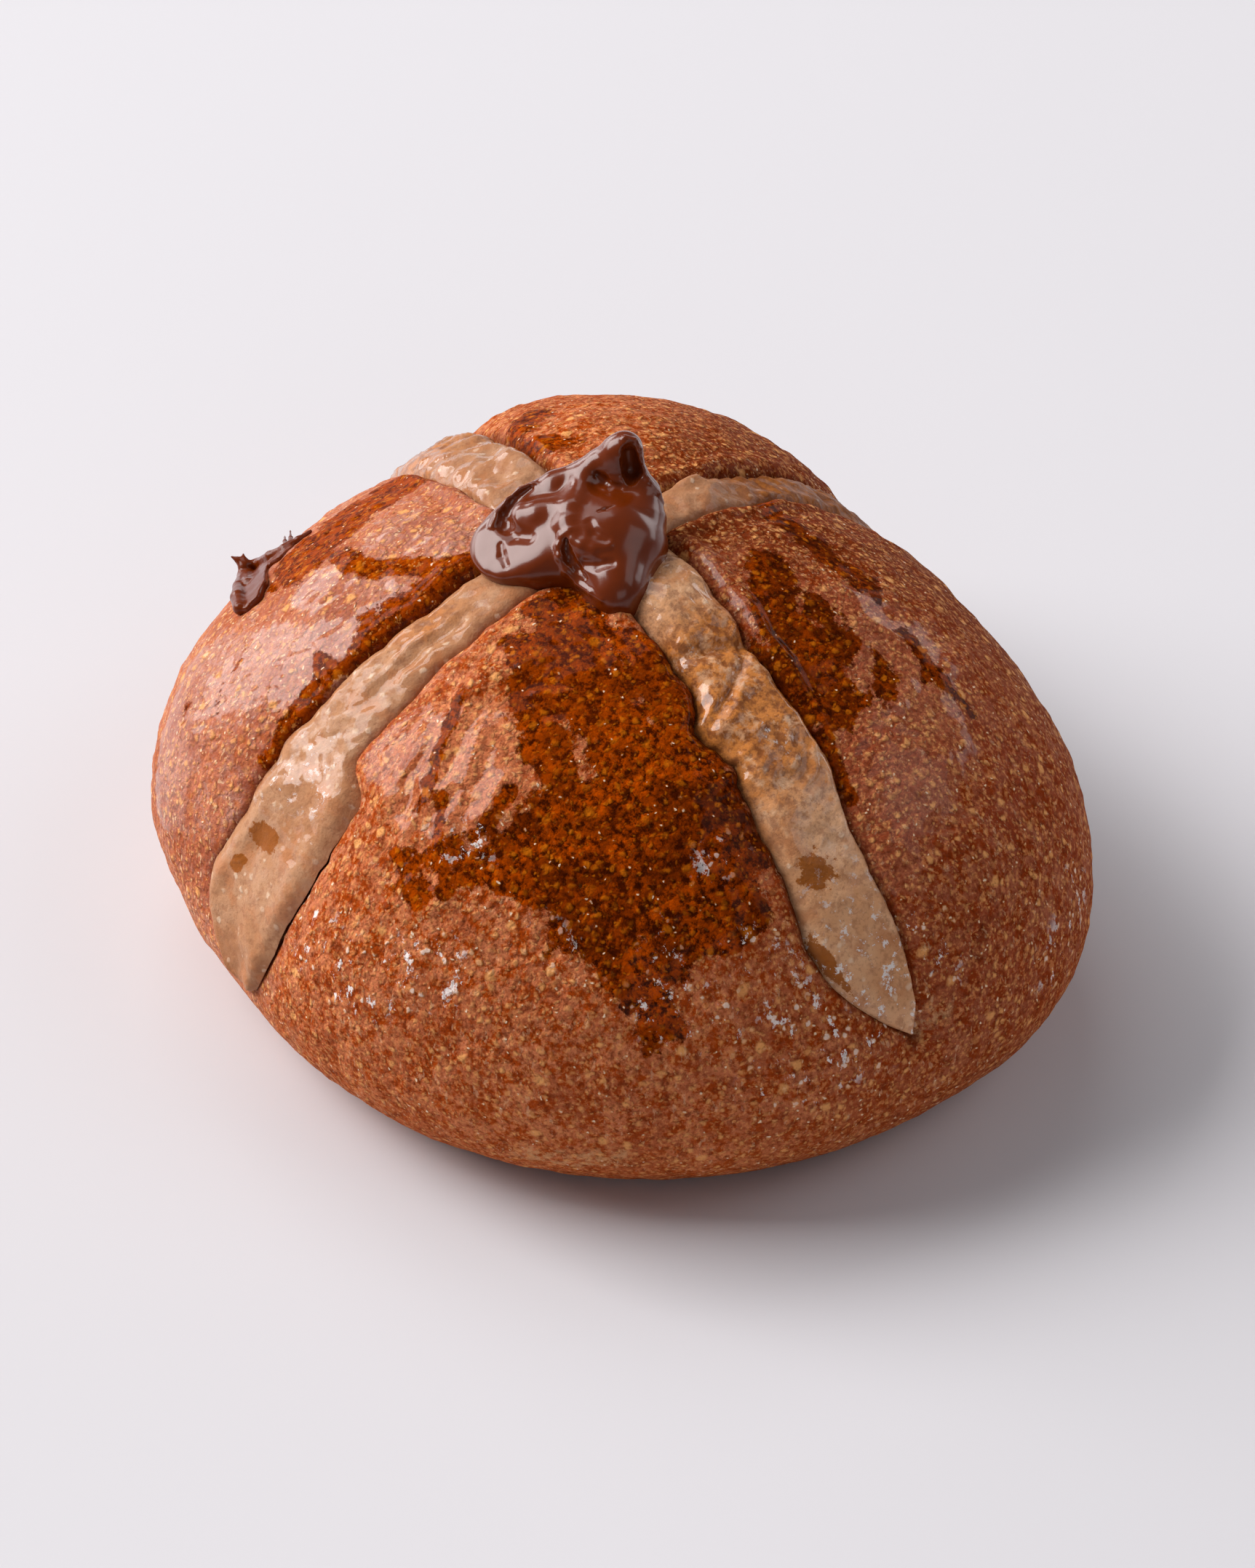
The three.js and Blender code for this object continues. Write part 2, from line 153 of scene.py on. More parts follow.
def plain_radius(turn, rise):
    """Distance of the plain dome from the middle of the belly."""
    out = np.abs(np.cos(rise)) / plan_radius(turn)
    up = np.abs(np.sin(rise))
    dome = round_off(out, up / (DOME_HEIGHT - BELLY_HEIGHT), DOME_POWER)
    side = round_off(out, up / UNDERSIDE_DROP, UNDERSIDE_POWER)
    base = BELLY_HEIGHT / np.maximum(up, 1e-6)
    return np.where(rise >= 0, dome, round_off(1 / side, 1 / base, BASE_EDGE_POWER))


def side_at(side, t):
    return side[0] + side[1] * t + side[2] * t * t


def arm_sides(arm, t):
    """The left and right sides of an arm at a share of the way down it, with the wavering of piped paste."""
    flare_end = arm["flare_from"] + FLARE_LENGTH
    left, right = (side_at(side, t) for side in arm["sides"])
    left = left + arm["flare"] * smooth(t, arm["flare_from"], flare_end)
    closing = np.clip((t - arm["close_from"]) / (arm["end"] - arm["close_from"]), 0, 1)
    tip, open_share = right + (left - right) * arm["tip"], (1 - closing**2) ** arm["blunt"]
    along = np.stack([t * 70, np.full_like(t, arm["direction"]), np.zeros_like(t)], -1)
    sides = []
    for side, notches, seed in zip((left, right), arm["notches"], (31, 67)):
        side = tip + (side - tip) * open_share + 0.5 * (1 - closing) * layered(along, 6, 4, seed)
        sides.append(side + sum(move * np.exp(-(((t - at) / length) ** 4)) for at, length, move in notches))
    return sides


def beside_arm(arm, x, y, z):
    """A point's distance along an arm and outside its left and right sides, and its share of the way down."""
    turn = np.radians(arm["direction"])
    u = x * np.cos(turn) + y * np.sin(turn)
    v = -x * np.sin(turn) + y * np.cos(turn)
    share = 1 - np.arctan2(z - BELLY_HEIGHT, u) / (np.pi / 2)
    left, right = arm_sides(arm, np.maximum(share, 0))
    return u, v - left, right - v, share


def gap_to_arm(arm, x, y, z):
    """How far a point of the plain dome lies outside an arm; negative under the paste."""
    u, left_gap, right_gap, share = beside_arm(arm, x, y, z)
    beside = np.maximum(left_gap, right_gap)
    beyond = np.maximum(share - arm["end"], 0) * np.pi / 2 * MEAN_RADIUS
    outside = np.sqrt(np.maximum(beside, 0) ** 2 + np.maximum(-u, 0) ** 2 + beyond**2)
    return outside + np.minimum(beside, 0)


def lips(arm, x, y, z):
    """Height of the rolled edges of the dough on both sides of an arm."""
    u, left_gap, right_gap, share = beside_arm(arm, x, y, z)
    total = 0
    for gap, (height, fade) in zip((left_gap, right_gap), arm["lips"]):
        along = smooth(u, -1, 5) * (1 - smooth(share, fade - 0.25, fade))
        total = total + height * along * bell((gap - 1.5) / 1.1)
    return total


def crease_shading(x, y, z):
    """Share of painted shade on the crust where it goes down beside the paste."""
    total = 0
    for arm in ARMS:
        u, left_gap, right_gap, share = beside_arm(arm, x, y, z)
        along = smooth(u, -2, 2) * (1 - smooth(share, arm["end"], arm["end"] + 0.03))
        for gap, depth in zip((left_gap, right_gap), arm["crease_shading"]):
            near = smooth(gap, -1.5, -0.2) * (1 - smooth(gap, 0.1, 1.0))
            total = np.maximum(total, depth * near * along)
    return total


def relief(x, y, z):
    """Height of the puffed quarters, the grooves and the slow swells above the plain dome."""
    shoulders = 1
    floor = np.zeros_like(x)
    rolled = np.zeros_like(x)
    for arm in ARMS:
        gap = gap_to_arm(arm, x, y, z)
        shoulders = shoulders * (1 - np.exp(-np.maximum(gap, 0) / QUARTER_SHOULDER))
        floor = np.maximum(floor, 1 - smooth(gap, -GROOVE_FLANK, GROOVE_FLANK))
        rolled = np.maximum(rolled, lips(arm, x, y, z))
    crest = smooth(z, *CREST)
    groove = GROOVE_DEPTH * (0.35 + 0.65 * crest) * floor * smooth(z, 3, 12)
    swell = sum(a * np.sin(kx * x + ky * y + kz * z + phase) for a, (kx, ky, kz), phase in SWELLS)
    return crest * QUARTER_RISE * shoulders - groove + swell * smooth(z, 2, 14) + rolled


def dome_point(turn, rise):
    """The place on the plain dome at a turn and a rise in radians."""
    r = plain_radius(turn, rise)
    return r * np.cos(rise) * np.cos(turn), r * np.cos(rise) * np.sin(turn), BELLY_HEIGHT + r * np.sin(rise)


def dough_radius(turn, rise):
    return plain_radius(turn, rise) + relief(*dome_point(turn, rise))


# ---- Meshes ----

def add_object(name, data):
    thing = bpy.data.objects.new(name, data)
    bpy.context.scene.collection.objects.link(thing)
    return thing


def mesh_object(name, points, faces, material, node, values=None):
    """A smooth-shaded piece from points in millimetres about the bun's axis, which replaces a node."""
    mesh = bpy.data.meshes.new(name)
    mesh.vertices.add(len(points))
    mesh.vertices.foreach_set("co", ((points + AXIS) * MM).astype(np.float32).ravel())
    mesh.loops.add(faces.size)
    mesh.polygons.add(len(faces))
    mesh.loops.foreach_set("vertex_index", faces.astype(np.int32).ravel())
    mesh.polygons.foreach_set("loop_start", (np.arange(len(faces)) * faces.shape[1]).astype(np.int32))
    mesh.update(calc_edges=True)
    mesh.validate()
    mesh.polygons.foreach_set("use_smooth", np.ones(len(mesh.polygons), bool))
    for key, value in (values or {}).items():
        mesh.attributes.new(key, "FLOAT", "POINT").data.foreach_set("value", value.astype(np.float32))
    mesh.materials.append(material)
    piece = add_object(name, mesh)
    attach(piece, "root")
    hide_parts(node)


TWIST_AT = 0.7  # share of the way down an arm where the mesh follows its middle line


def arm_twist(turn):
    """How far the middle line of the arms is turned from its direction, blended all the way round."""
    twist = 0
    for arm in ARMS:
        away = turn - np.radians(arm["direction"])
        left, right = (side_at(side, TWIST_AT) for side in arm["sides"])
        share = (1 + 2 * np.cos(away) + np.cos(2 * away)) / 4
        out = MEAN_RADIUS * np.sin(TWIST_AT * np.pi / 2)
        twist = twist + share * np.arctan((left + arm["flare"] + right) / 2 / out)
    return twist


CELLS = 136  # cells along each upper edge of the cube that the dough's mesh comes from
SIDE_ROWS = 128  # rows from the cube's upper edge down to the rim of the base
BASE_ROWS = 7  # rows from there across the base
SIDE_END = -0.32  # where the side rows end on the cube, whose upper edge is at 1
BASE_SPAN = (-0.42, -1.6)  # where the base rows start and end on it
MIDDLE_SPACING = 0.7  # how close the lines lie in the middle of an edge


def cube_lines():
    """Places across a face of the cube, set closer towards its middle."""
    share = np.linspace(-1, 1, CELLS + 1)
    return np.tan(np.pi / 4 * share * (MIDDLE_SPACING + (1 - MIDDLE_SPACING) * share * share))


def cube_grid():
    """Directions and quads of a cube whose lines run along the arms: its sides reach down onto the base."""
    across = cube_lines()
    down = np.concatenate([np.linspace(1, SIDE_END, SIDE_ROWS + 1), np.linspace(*BASE_SPAN, BASE_ROWS)])
    directions, quads, start = [], [], 0
    for right, out in (((0, 1), (1, 0)), ((-1, 0), (0, 1)), ((0, -1), (-1, 0)), ((1, 0), (0, -1))):
        a, b = np.meshgrid(across, down, indexing="ij")
        directions.append(np.stack([out[0] + a * right[0], out[1] + a * right[1], b], -1).reshape(-1, 3))
        quads.append(start + grid_quads(*a.shape)[:, ::-1])
        start += a.size
    a, b = np.meshgrid(across, across, indexing="ij")
    directions.append(np.stack([a, b, np.ones_like(a)], -1).reshape(-1, 3))
    quads.append(start + grid_quads(*a.shape))
    directions = np.concatenate(directions)
    merged, index = np.unique(np.round(directions, 7), axis=0, return_inverse=True)
    return merged, index.reshape(-1)[np.concatenate(quads)]


def grid_quads(rows, columns):
    """Quads between neighbours of a grid of numbered points."""
    at = np.arange(rows * columns).reshape(rows, columns)
    return np.stack([at[:-1, :-1], at[1:, :-1], at[1:, 1:], at[:-1, 1:]], -1).reshape(-1, 4)


def halved(quads):
    """Each quad as two triangles."""
    return np.concatenate([quads[:, [0, 1, 2]], quads[:, [0, 2, 3]]])


def open_edge_fan(points, quads, centre):
    """The points with the centre added, and triangles that close the hole in the base to it."""
    edges = np.concatenate([quads[:, [k, (k + 1) % 4]] for k in range(4)])
    known = {(a, b) for a, b in edges.tolist()}
    rim = [(a, b) for a, b in known if (b, a) not in known]
    middle = len(points)
    return np.concatenate([points, [centre]]), np.array([(b, a, middle) for a, b in rim])


def make_dough(material):
    directions, quads = cube_grid()
    flat = np.hypot(directions[:, 0], directions[:, 1])
    turn = np.arctan2(directions[:, 1], directions[:, 0])
    turn = turn + np.where(flat > 1e-9, arm_twist(turn), 0)
    rise = np.arctan2(directions[:, 2], flat)
    base_point = np.stack(dome_point(turn, rise), -1)
    r = dough_radius(turn, rise) + crust_detail(base_point, turn)
    out = r * np.cos(rise)
    height = BELLY_HEIGHT + r * np.sin(rise)
    pressed = np.where(rise < 0, smooth(out / plan_radius(turn), *BASE_ROUNDING), 1)
    points = np.stack([out * np.cos(turn), out * np.sin(turn), np.maximum(height * pressed, 0)], -1)
    values = crust_values(base_point, turn)
    points, fan = open_edge_fan(points, quads, (0, 0, 0))
    values = {key: np.append(v, v.min()) for key, v in values.items()}
    faces = np.concatenate([halved(quads), fan])
    mesh_object("glazed_crust", points, faces, material, "bun", values)


def strokes(points, paths):
    """How far inside brush strokes the points lie, in millimetres."""
    inside = np.full(len(points), -np.inf)
    for radius, *stops in paths:
        corners = [np.array(dome_point(np.radians(t), np.radians(float(r)))) for t, r in stops]
        for a, b in zip(corners, corners[1:] or corners):
            ab = b - a
            t = np.clip(((points - a) @ ab) / max(ab @ ab, 1e-9), 0, 1)
            inside = np.maximum(inside, radius - np.linalg.norm(points - a - t[:, None] * ab, axis=1))
    return inside


# Brush strokes on the crust: (radius in millimetres, (turn, rise), ...).
WET_STROKES = (
    (3.8, (-72, 73), (-56, 66), (-49, 59), (-44, 51), (-41, 45)),
    (2.6, (-37, 67), (-32, 56), (-29, 48), (-27, 41), (-26, 34)),
    (2.2, (-77, 64), (-68, 56), (-58, 48)),
    (4.5, (-54, 40), (-45, 39), (-37, 38), (-31, 33)),
    (3.0, (-62, 34), (-55, 33), (-48, 31), (-40, 29), (-34, 27), (-28, 28)),
    (2.6, (-52, 27), (-46, 25), (-41, 23), (-37, 25)),
    (2.2, (-44, 22), (-42, 19), (-41, 16)),
    (1.4, (-79, 30), (-76, 28)),
    (1.7, (-73, 32), (-65, 34)),
    (2.4, (35, 66), (15, 62)),
    (3.3, (14, 60), (7, 52), (6, 48)),
    (2.2, (2, 56), (1, 48)),
    (1.6, (26, 58), (17, 51)),
    (4.4, (-155, 38), (-160, 39), (-167, 41), (-174, 42), (179, 43)),
    (2.5, (-131, 70), (-127, 65), (-124, 60), (-122, 55), (-122, 51)),
    (1.5, (93, 60), (75, 60), (61, 59), (49, 54), (43, 51)),
    (1.6, (150, 44), (162, 52), (150, 60)),
    (0.9, (21, 47), (15, 43)),
    (0.9, (32, 45), (26, 39), (24, 33)),
)
THIN_WET_STROKES = (
    (1.3, (-150, 46), (-145, 49), (-141, 54), (-138, 59), (-133, 62), (-134, 67)),
    (1.2, (-121, 50), (-119, 46)),
    (1.0, (-119, 44), (-123, 42)),
    (1.1, (-120, 42), (-118, 37), (-117, 31), (-116, 27)),
    (0.4, (-135, 21), (-133, 19), (-131, 18)),
    (0.2, (-139, 32), (-135, 31), (-133, 27), (-129, 25)),
    (0.7, (-86, 54), (-84, 50), (-82, 45), (-80, 40), (-80, 37)),
    (0.6, (-57, 50), (-59, 46), (-59, 42)),
    (0.7, (-77, 40), (-75, 35), (-71, 29)),
    (0.8, (-81, 31), (-79, 29), (-75, 26)),
    (0.6, (-65, 43), (-67, 39), (-69, 36)),
    (0.6, (-1, 45), (-5, 36)),
)
# Where the crust is hazy: milky dry glaze with more gloss, whose rose colour is partly painted sheen.
HAZE_AND_PAINTED_SHEEN_STROKES = (
    (4.5, (30, 53), (18, 44), (6, 40)),
    (5.0, (26, 44), (14, 36), (0, 33)),
    (4.0, (0, 38), (-6, 28)),
    (4.0, (-90, 42), (-82, 47), (-72, 43), (-68, 49)),
    (3.5, (-80, 38), (-70, 37)),
    (1.6, (-24, 42), (-24, 34)),
    (1.1, (28, 75), (14, 70), (6, 64)),
    (3.2, (-156, 54), (-152, 59), (-149, 64)),
    (3.4, (-142, 44), (-137, 48), (-132, 51), (-127, 49), (-125, 44), (-124, 40)),
    (5.0, (-128, 36), (-138, 24), (-130, 12)),
)
# Where the wet glaze is painted lit: a brighter amber copy of the wet film, painted light.
PAINTED_LIT_AMBER_STROKES = (
    (9, (-125, 60), (-150, 52), (-165, 42)),
    (4, (-120, 50), (-119, 32)),
    (7, (160, 46), (160, 62)),
    (4, (-84, 56), (-78, 36), (-74, 30)),
    (4, (-78, 66), (-60, 60), (-54, 52)),
    (2, (-38, 68), (-31, 56)),
)
# Where white flecks are painted on the crust: painted glints.
FLECK_AND_PAINTED_GLINT_STROKES = (
    (1.4, (-56, 26), (-53, 24)),
    (1.3, (-40, 26), (-39, 22)),
    (1.3, (-31, 34), (-28, 35)),
    (3.0, (-40, 18), (-34, 16)),
    (2.2, (-28, 23), (-25, 20)),
    (3.2, (-24, 15), (-20, 8), (-27, 7)),
    (2.6, (-15, 8), (-6, 13), (-5, 18)),
    (1.6, (-75, 34), (-68, 36)),
    (3.6, (-92, 15), (-83, 13), (-76, 16), (-70, 19)),
    (2.6, (20, 9), (12, 5)),
)
WRINKLE_STROKES = ((3.0, (-86, 52), (-84, 40), (-84, 28)), (4.0, (-74, 44), (-73, 30), (-71, 22)))
FOLD_STROKES = (
    (0.9, (-84, 58), (-84, 50), (-82, 44), (-80, 38), (-81, 32)),
    (0.7, (-76, 50), (-75, 44)),
    (0.7, (-75, 37), (-74, 33), (-71, 27)),
    (0.6, (-88, 46), (-87, 41), (-87, 35)),
    (0.6, (-66, 45), (-69, 38)),
)
STREAK_STROKES = ((7.0, (-128, 38), (-134, 26), (-130, 16)), (4.0, (-150, 45), (-160, 35)))
PALE_STROKES = ((1.6, (-57, -4), (-50, -4), (-46, -3)), (1.1, (-9, 8), (-6, 9)))
PITS = (  # small burst bubbles: (turn, rise)
    (1, 17), (1, 15), (0, 13.5), (2.5, 16), (-8.5, 9), (-118, 24), (-98, 12), (60, 30), (150, 30), (100, 36),
)


BLISTERS = 1500


def scattered_domes(points, count, radii, height, seed):
    """Small rounded blisters at random places on the dough, fading out near the base."""
    draw = np.random.default_rng(seed)
    turn = draw.uniform(-np.pi, np.pi, count)
    rise = np.arcsin(draw.uniform(-0.2, 0.98, count))
    centres = np.stack(dome_point(turn, rise), -1).astype(np.float32)
    sizes = draw.uniform(*radii, count)
    total = np.zeros(len(points), np.float32)
    places = points.astype(np.float32)
    for centre, size in zip(centres, sizes):
        k = np.flatnonzero((np.abs(places - centre) < size).all(1))
        d2 = ((places[k] - centre) ** 2).sum(1) / size**2
        total[k] = np.maximum(total[k], height * size * np.maximum(1 - d2, 0) ** 1.5)
    return total * smooth(points[:, 2], 4, 10)


def crust_detail(p, turn):
    """Unevenness of the crust above the dough's relief."""
    z = p[:, 2]
    lumps = 0.3 * layered(p, 10, 2, 3) + 0.13 * layered(p, 3.3, 2, 11) + 0.05 * noise(p, 1.2, 15)
    detail = lumps * smooth(z, 0.5, 6)
    around = turn * MEAN_RADIUS
    fall = np.stack([around + 1.2 * noise(p, 6, 5), z * 0.14, np.zeros_like(z)], -1)
    ridges = 1.2 - np.abs(noise(fall, 1.5, 21)) * 2 - np.abs(noise(fall, 0.8, 23)) * 1.2
    wrinkled = smooth(strokes(p, WRINKLE_STROKES), -2.5, 1.5)
    streaked = smooth(strokes(p, STREAK_STROKES), -2.5, 2)
    slant = np.stack([around * 0.9 + z * 0.5, z * 0.25 - around * 0.1, np.zeros_like(z)], -1)
    streaks = 1 - np.abs(noise(slant, 1.1, 43)) * 2
    folded = smooth(strokes(p, FOLD_STROKES) + 0.5 * noise(p, 1.6, 61), -0.8, 0.6)
    detail += 0.12 * ridges * wrinkled + 0.3 * folded + 0.13 * streaks * streaked
    detail += scattered_domes(p, BLISTERS, (0.5, 1.3), 0.13, 5)
    for t, r in PITS:
        centre = np.array(dome_point(np.radians(t), np.radians(r)))
        d2 = ((p - centre) ** 2).sum(1)
        detail += 0.12 * bell((np.sqrt(d2) - 0.9) / 0.3) - 0.45 * np.exp(-d2 / 0.55**2)
    rim = smooth(z, 0.2, 1.5) * (1 - smooth(z, 3, 6))
    return detail + 0.3 * rim * layered(p, 3.2, 3, 77)


def crust_values(p, turn):
    """What the crust's material needs to know at each point."""
    return {
        "wet": strokes(p, WET_STROKES),
        "thin": strokes(p, THIN_WET_STROKES),
        # haze: milky glaze, and rose colour that is partly painted sheen
        "haze_and_painted_sheen": strokes(p, HAZE_AND_PAINTED_SHEEN_STROKES),
        "fleck_and_painted_glint": smooth(strokes(p, FLECK_AND_PAINTED_GLINT_STROKES), -1.5, 1.5),
        "pale": smooth(strokes(p, PALE_STROKES), -0.5, 0.5),
        # painted shade in the creases beside the paste
        "crease_shade": crease_shading(*p.T),
        "low": 1 - smooth(p[:, 2], 2, 17),
        # painted light on the wet film
        "painted_lit_amber": smooth(strokes(p, PAINTED_LIT_AMBER_STROKES), -4, 3),
        # left: share of the left side, where the crust's colours are painted lighter, as painted light and
        # painted sheen
        "left": smooth(np.cos(turn + np.radians(150)), 0.45, 0.85),
        # back and right: shares of the sides darkened as painted shade
        "back": smooth(np.cos(turn - np.radians(85)), 0.55, 0.95),
        "right": smooth(np.cos(turn - np.radians(35)), 0.3, 0.85),
    }


# ---- The cross ----

STRIP_ROWS = 190
STRIP_CELLS = 34
UNDER_CELLS = 6
HALVINGS = 36  # steps of the search for the dome, from its farthest
FARTHEST = 90.0


def turned(u, v, direction):
    """The place at u along a direction, in degrees, and v to its left."""
    turn = np.radians(direction)
    return u * np.cos(turn) - v * np.sin(turn), u * np.sin(turn) + v * np.cos(turn)


def dome_reach(arm, side, angle):
    """Distance from the belly's middle height to the plain dome in an arm's upright planes, by bisection."""
    low, high = np.zeros_like(side), np.full_like(side, FARTHEST)
    for _ in range(HALVINGS):
        middle = (low + high) / 2
        x, y = turned(middle * np.cos(angle), side, arm["direction"])
        z = middle * np.sin(angle)
        flat = np.hypot(x, y)
        inside = np.hypot(flat, z) < plain_radius(np.arctan2(y, x), np.arctan2(z, flat))
        low, high = np.where(inside, middle, low), np.where(inside, high, middle)
    return (low + high) / 2


def place_on_arm(arm, t, side, above):
    """The place at a share of the way down an arm, to its left and above the plain dome."""
    angle = (1 - t) * np.pi / 2
    r = dome_reach(arm, side, angle) + above
    x, y = turned(r * np.cos(angle), side, arm["direction"])
    return np.stack([x, y, BELLY_HEIGHT + r * np.sin(angle)], -1)


def ridged(points, size, seed):
    """Noise with sharp crests, from 0 in the valleys to 1 on the crests."""
    return 1 - np.minimum(2.2 * np.abs(noise(points, size, seed)), 1)


def strip_relief(arm, t, s, points):
    """Lumps, folds and dips of the paste above its plain crown; s is 1 on its left and -1 on its right."""
    bumps = 0.25 * layered(points, 5, 3, 91) + 0.09 * layered(points, 1.3, 2, 93)
    if arm["name"] == "wide":
        bumps += 0.3 * bell((np.abs(s) - 0.75) / 0.2) * smooth(t, 0.55, 0.65)
        bumps -= 0.6 * spot(t, s, 0.79, -0.35, 0.04, 0.35) + 0.5 * spot(t, s, 0.88, -0.1, 0.07, 0.3)
        bumps += 0.5 * spot(t, s, 0.68, -0.4, 0.05, 0.35) + 0.4 * spot(t, s, 0.64, 0.6, 0.035, 0.3)
        bumps += 0.35 * (spot(t, s, 0.4, -0.1, 0.12, 0.12) - spot(t, s, 0.38, 0.25, 0.1, 0.14))
        bumps += (0.12 * ridged(points, 3.2, 51) + 0.1 * layered(points, 0.9, 2, 95)) * smooth(t, 0.25, 0.45)
    if arm["name"] == "pointed":
        bumps += 0.7 * bell((t - 0.17) / 0.08)
        for at, depth, slant in ((0.29, 0.6, 0.03), (0.36, 0.45, -0.05), (0.55, 0.2, 0.04)):
            bumps -= depth * bell((t - at - slant * s) / 0.014)
        bumps += 0.3 * spot(t, s, 0.45, -0.2, 0.1, 0.7)
        bumps += 0.35 * ridged(points, 2.6, 53) * (1 - smooth(t, 0.5, 0.75))
        bumps += 0.3 * bell((s - 0.85) / 0.16) * smooth(t, 0.2, 0.3)
    if arm["name"] == "far":
        bumps += 1.0 * bell((t - 0.25) / 0.05) * (0.7 + 0.5 * s) + 0.3 * ridged(points, 2.6, 55)
    if arm["name"] == "back":
        bumps += 0.9 * bell((t - 0.33) / 0.05) * smooth(-s, -0.2, 0.8) + 0.6 * ridged(points, 4.2, 57)
        bumps -= 0.8 * spot(t, s, 0.27, -0.5, 0.03, 0.3)
    return bumps


def make_arm(arm):
    """Points and triangles of one arm of the cross, a closed strip, and the shares down and across it."""
    t = STRIP_START + (arm["end"] - 0.002 - STRIP_START) * np.linspace(0, 1, STRIP_ROWS + 1) ** 0.95
    left, right = arm_sides(arm, np.maximum(t, 0))
    middle, half = (left + right) / 2, (left - right) / 2
    tuck = 0.35 * smooth(half, 0, 1.5)
    s = np.sin(np.linspace(np.pi / 2, -np.pi / 2, STRIP_CELLS + 1))
    tt, ss = np.meshgrid(t, s, indexing="ij")
    half_wide = (half + tuck)[:, None]
    side = middle[:, None] + ss * half_wide
    crown = arm["crown"] * np.minimum(1, half / 2)[:, None]
    left_sunk, right_sunk = arm["sunk"]
    sunk = np.where(ss > 0, left_sunk, right_sunk) * smooth(tt, 0.12, 0.2) * (1 - smooth(tt, 0.72, 0.85))
    edge = (PASTE_EDGE + 0.5 * smooth(1.0 - tt, 0.25, 0.55) + sunk) * ss**6 * smooth(half, 0, 1.5)[:, None]
    top = crown - edge
    fade = (1 - np.abs(ss) ** 8) * smooth(half, 0.2, 2)[:, None]
    lumps = strip_relief(arm, tt, ss, place_on_arm(arm, tt, side, top)) * fade
    over = place_on_arm(arm, tt, side, top + lumps)
    s_under = np.linspace(-1, 1, UNDER_CELLS + 1)[1:-1]
    tu, su = np.meshgrid(t, s_under, indexing="ij")
    under = place_on_arm(arm, tu, middle[:, None] + su * half_wide, np.full_like(tu, -PASTE_SINK))
    rings = np.concatenate([over, under], 1)
    rows, around = rings.shape[:2]
    points = np.concatenate([rings.reshape(-1, 3), [rings[0].mean(0)], [rings[-1].mean(0)]])
    at = np.arange(rows * around).reshape(rows, around)
    beside = np.roll(at, -1, 1)
    faces = [halved(np.stack([at[:-1], beside[:-1], beside[1:], at[1:]], -1).reshape(-1, 4))]
    faces.append(np.stack([np.full(around, at.size), beside[0], at[0]], -1))
    faces.append(np.stack([at[-1], beside[-1], np.full(around, at.size + 1)], -1))
    share = np.concatenate([np.repeat(t, around), [t[0], t[-1]]])
    side_share = np.concatenate([np.tile(np.concatenate([s, s_under]), rows), [0, 0]])
    return points, np.concatenate(faces), share, side_share


def spot(t, s, at, across, length, width):
    """A soft spot on an arm, at a share of the way down and across it."""
    return np.exp(-(((t - at) / length) ** 2) - ((s - across) / width) ** 2)


def arm_values(name, t, s):
    """Gloss, brownness, caramel film, dark stain, white flakes and painted glints, and painted shade at the
    edge of the paste.
    """
    gloss, brown, film, stain, fleck_and_painted_glint, shade = np.zeros((6, len(t)))
    if name == "wide":
        gloss = 0.5 * smooth(t, 0.15, 0.3) * (1 - smooth(t, 0.8, 0.95)) + 0.3 * spot(t, s, 0.65, -0.1, 0.1, 1)
        brown = 0.5 + 0.2 * smooth(t, 0.9, 1.0)
        film = 0.5 * spot(t, s, 0.33, -0.4, 0.08, 0.6)
        stain = 1.4 * spot(t, s, 0.765, -0.3, 0.022, 0.3) + 1.3 * spot(t, s, 0.83, -0.5, 0.018, 0.14)
        fleck_and_painted_glint = spot(t, s, 0.6, 0, 0.03, 0.5) + spot(t, s, 0.67, -0.5, 0.04, 0.5)
        fleck_and_painted_glint += spot(t, s, 0.66, 0.4, 0.03, 0.2)
    if name == "pointed":
        gloss = 1 - 0.6 * smooth(t, 0.58, 0.72)
        film = (1 - smooth(t, 0.45, 0.68)) * (0.4 + 0.6 * smooth(t, 0.17, 0.27))
        stain = spot(t, s, 0.66, -0.3, 0.03, 0.4) + spot(t, s, 0.78, -0.8, 0.05, 0.15)
        fleck_and_painted_glint = smooth(t, 0.6, 0.8) + spot(t, s, 0.45, 0.1, 0.05, 0.25)
        fleck_and_painted_glint += 0.8 * spot(t, s, 0.28, -0.6, 0.02, 0.25)
        shade = smooth(-s, 0.78, 1) * smooth(t, 0.2, 0.3) * (1 - smooth(t, 0.75, 0.85))
    if name == "back":
        gloss += 0.8
        brown += 0.6
        film = 0.6 * smooth(t, 0.45, 0.6)
    if name == "far":
        gloss += 0.25
        brown = 0.6 + 0.4 * smooth(t, 0.25, 0.4)
        film = 0.6 * smooth(t, 0.25, 0.4)
        shade = 0.3 * smooth(t, 0.2, 0.4)
    return gloss, brown, film, np.minimum(stain, 1), fleck_and_painted_glint, shade


def make_cross(material):
    """The four arms, each a closed strip, which run into each other under the dollop."""
    points, faces, marks, start = [], [], [], 0
    for arm in ARMS:
        p, f, t, s = make_arm(arm)
        points.append(p)
        faces.append(f + start)
        start += len(p)
        marks.append(arm_values(arm["name"], t, s))
    points, faces, marks = np.concatenate(points), np.concatenate(faces), np.concatenate(marks, 1)
    values = dict(zip(("gloss", "brown", "film", "stain", "fleck_and_painted_glint", "shade"), marks))
    mesh_object("paste_cross", points, faces, material, "cross", values)


# ---- The spread: soft shapes run together, then turned into a mesh ----

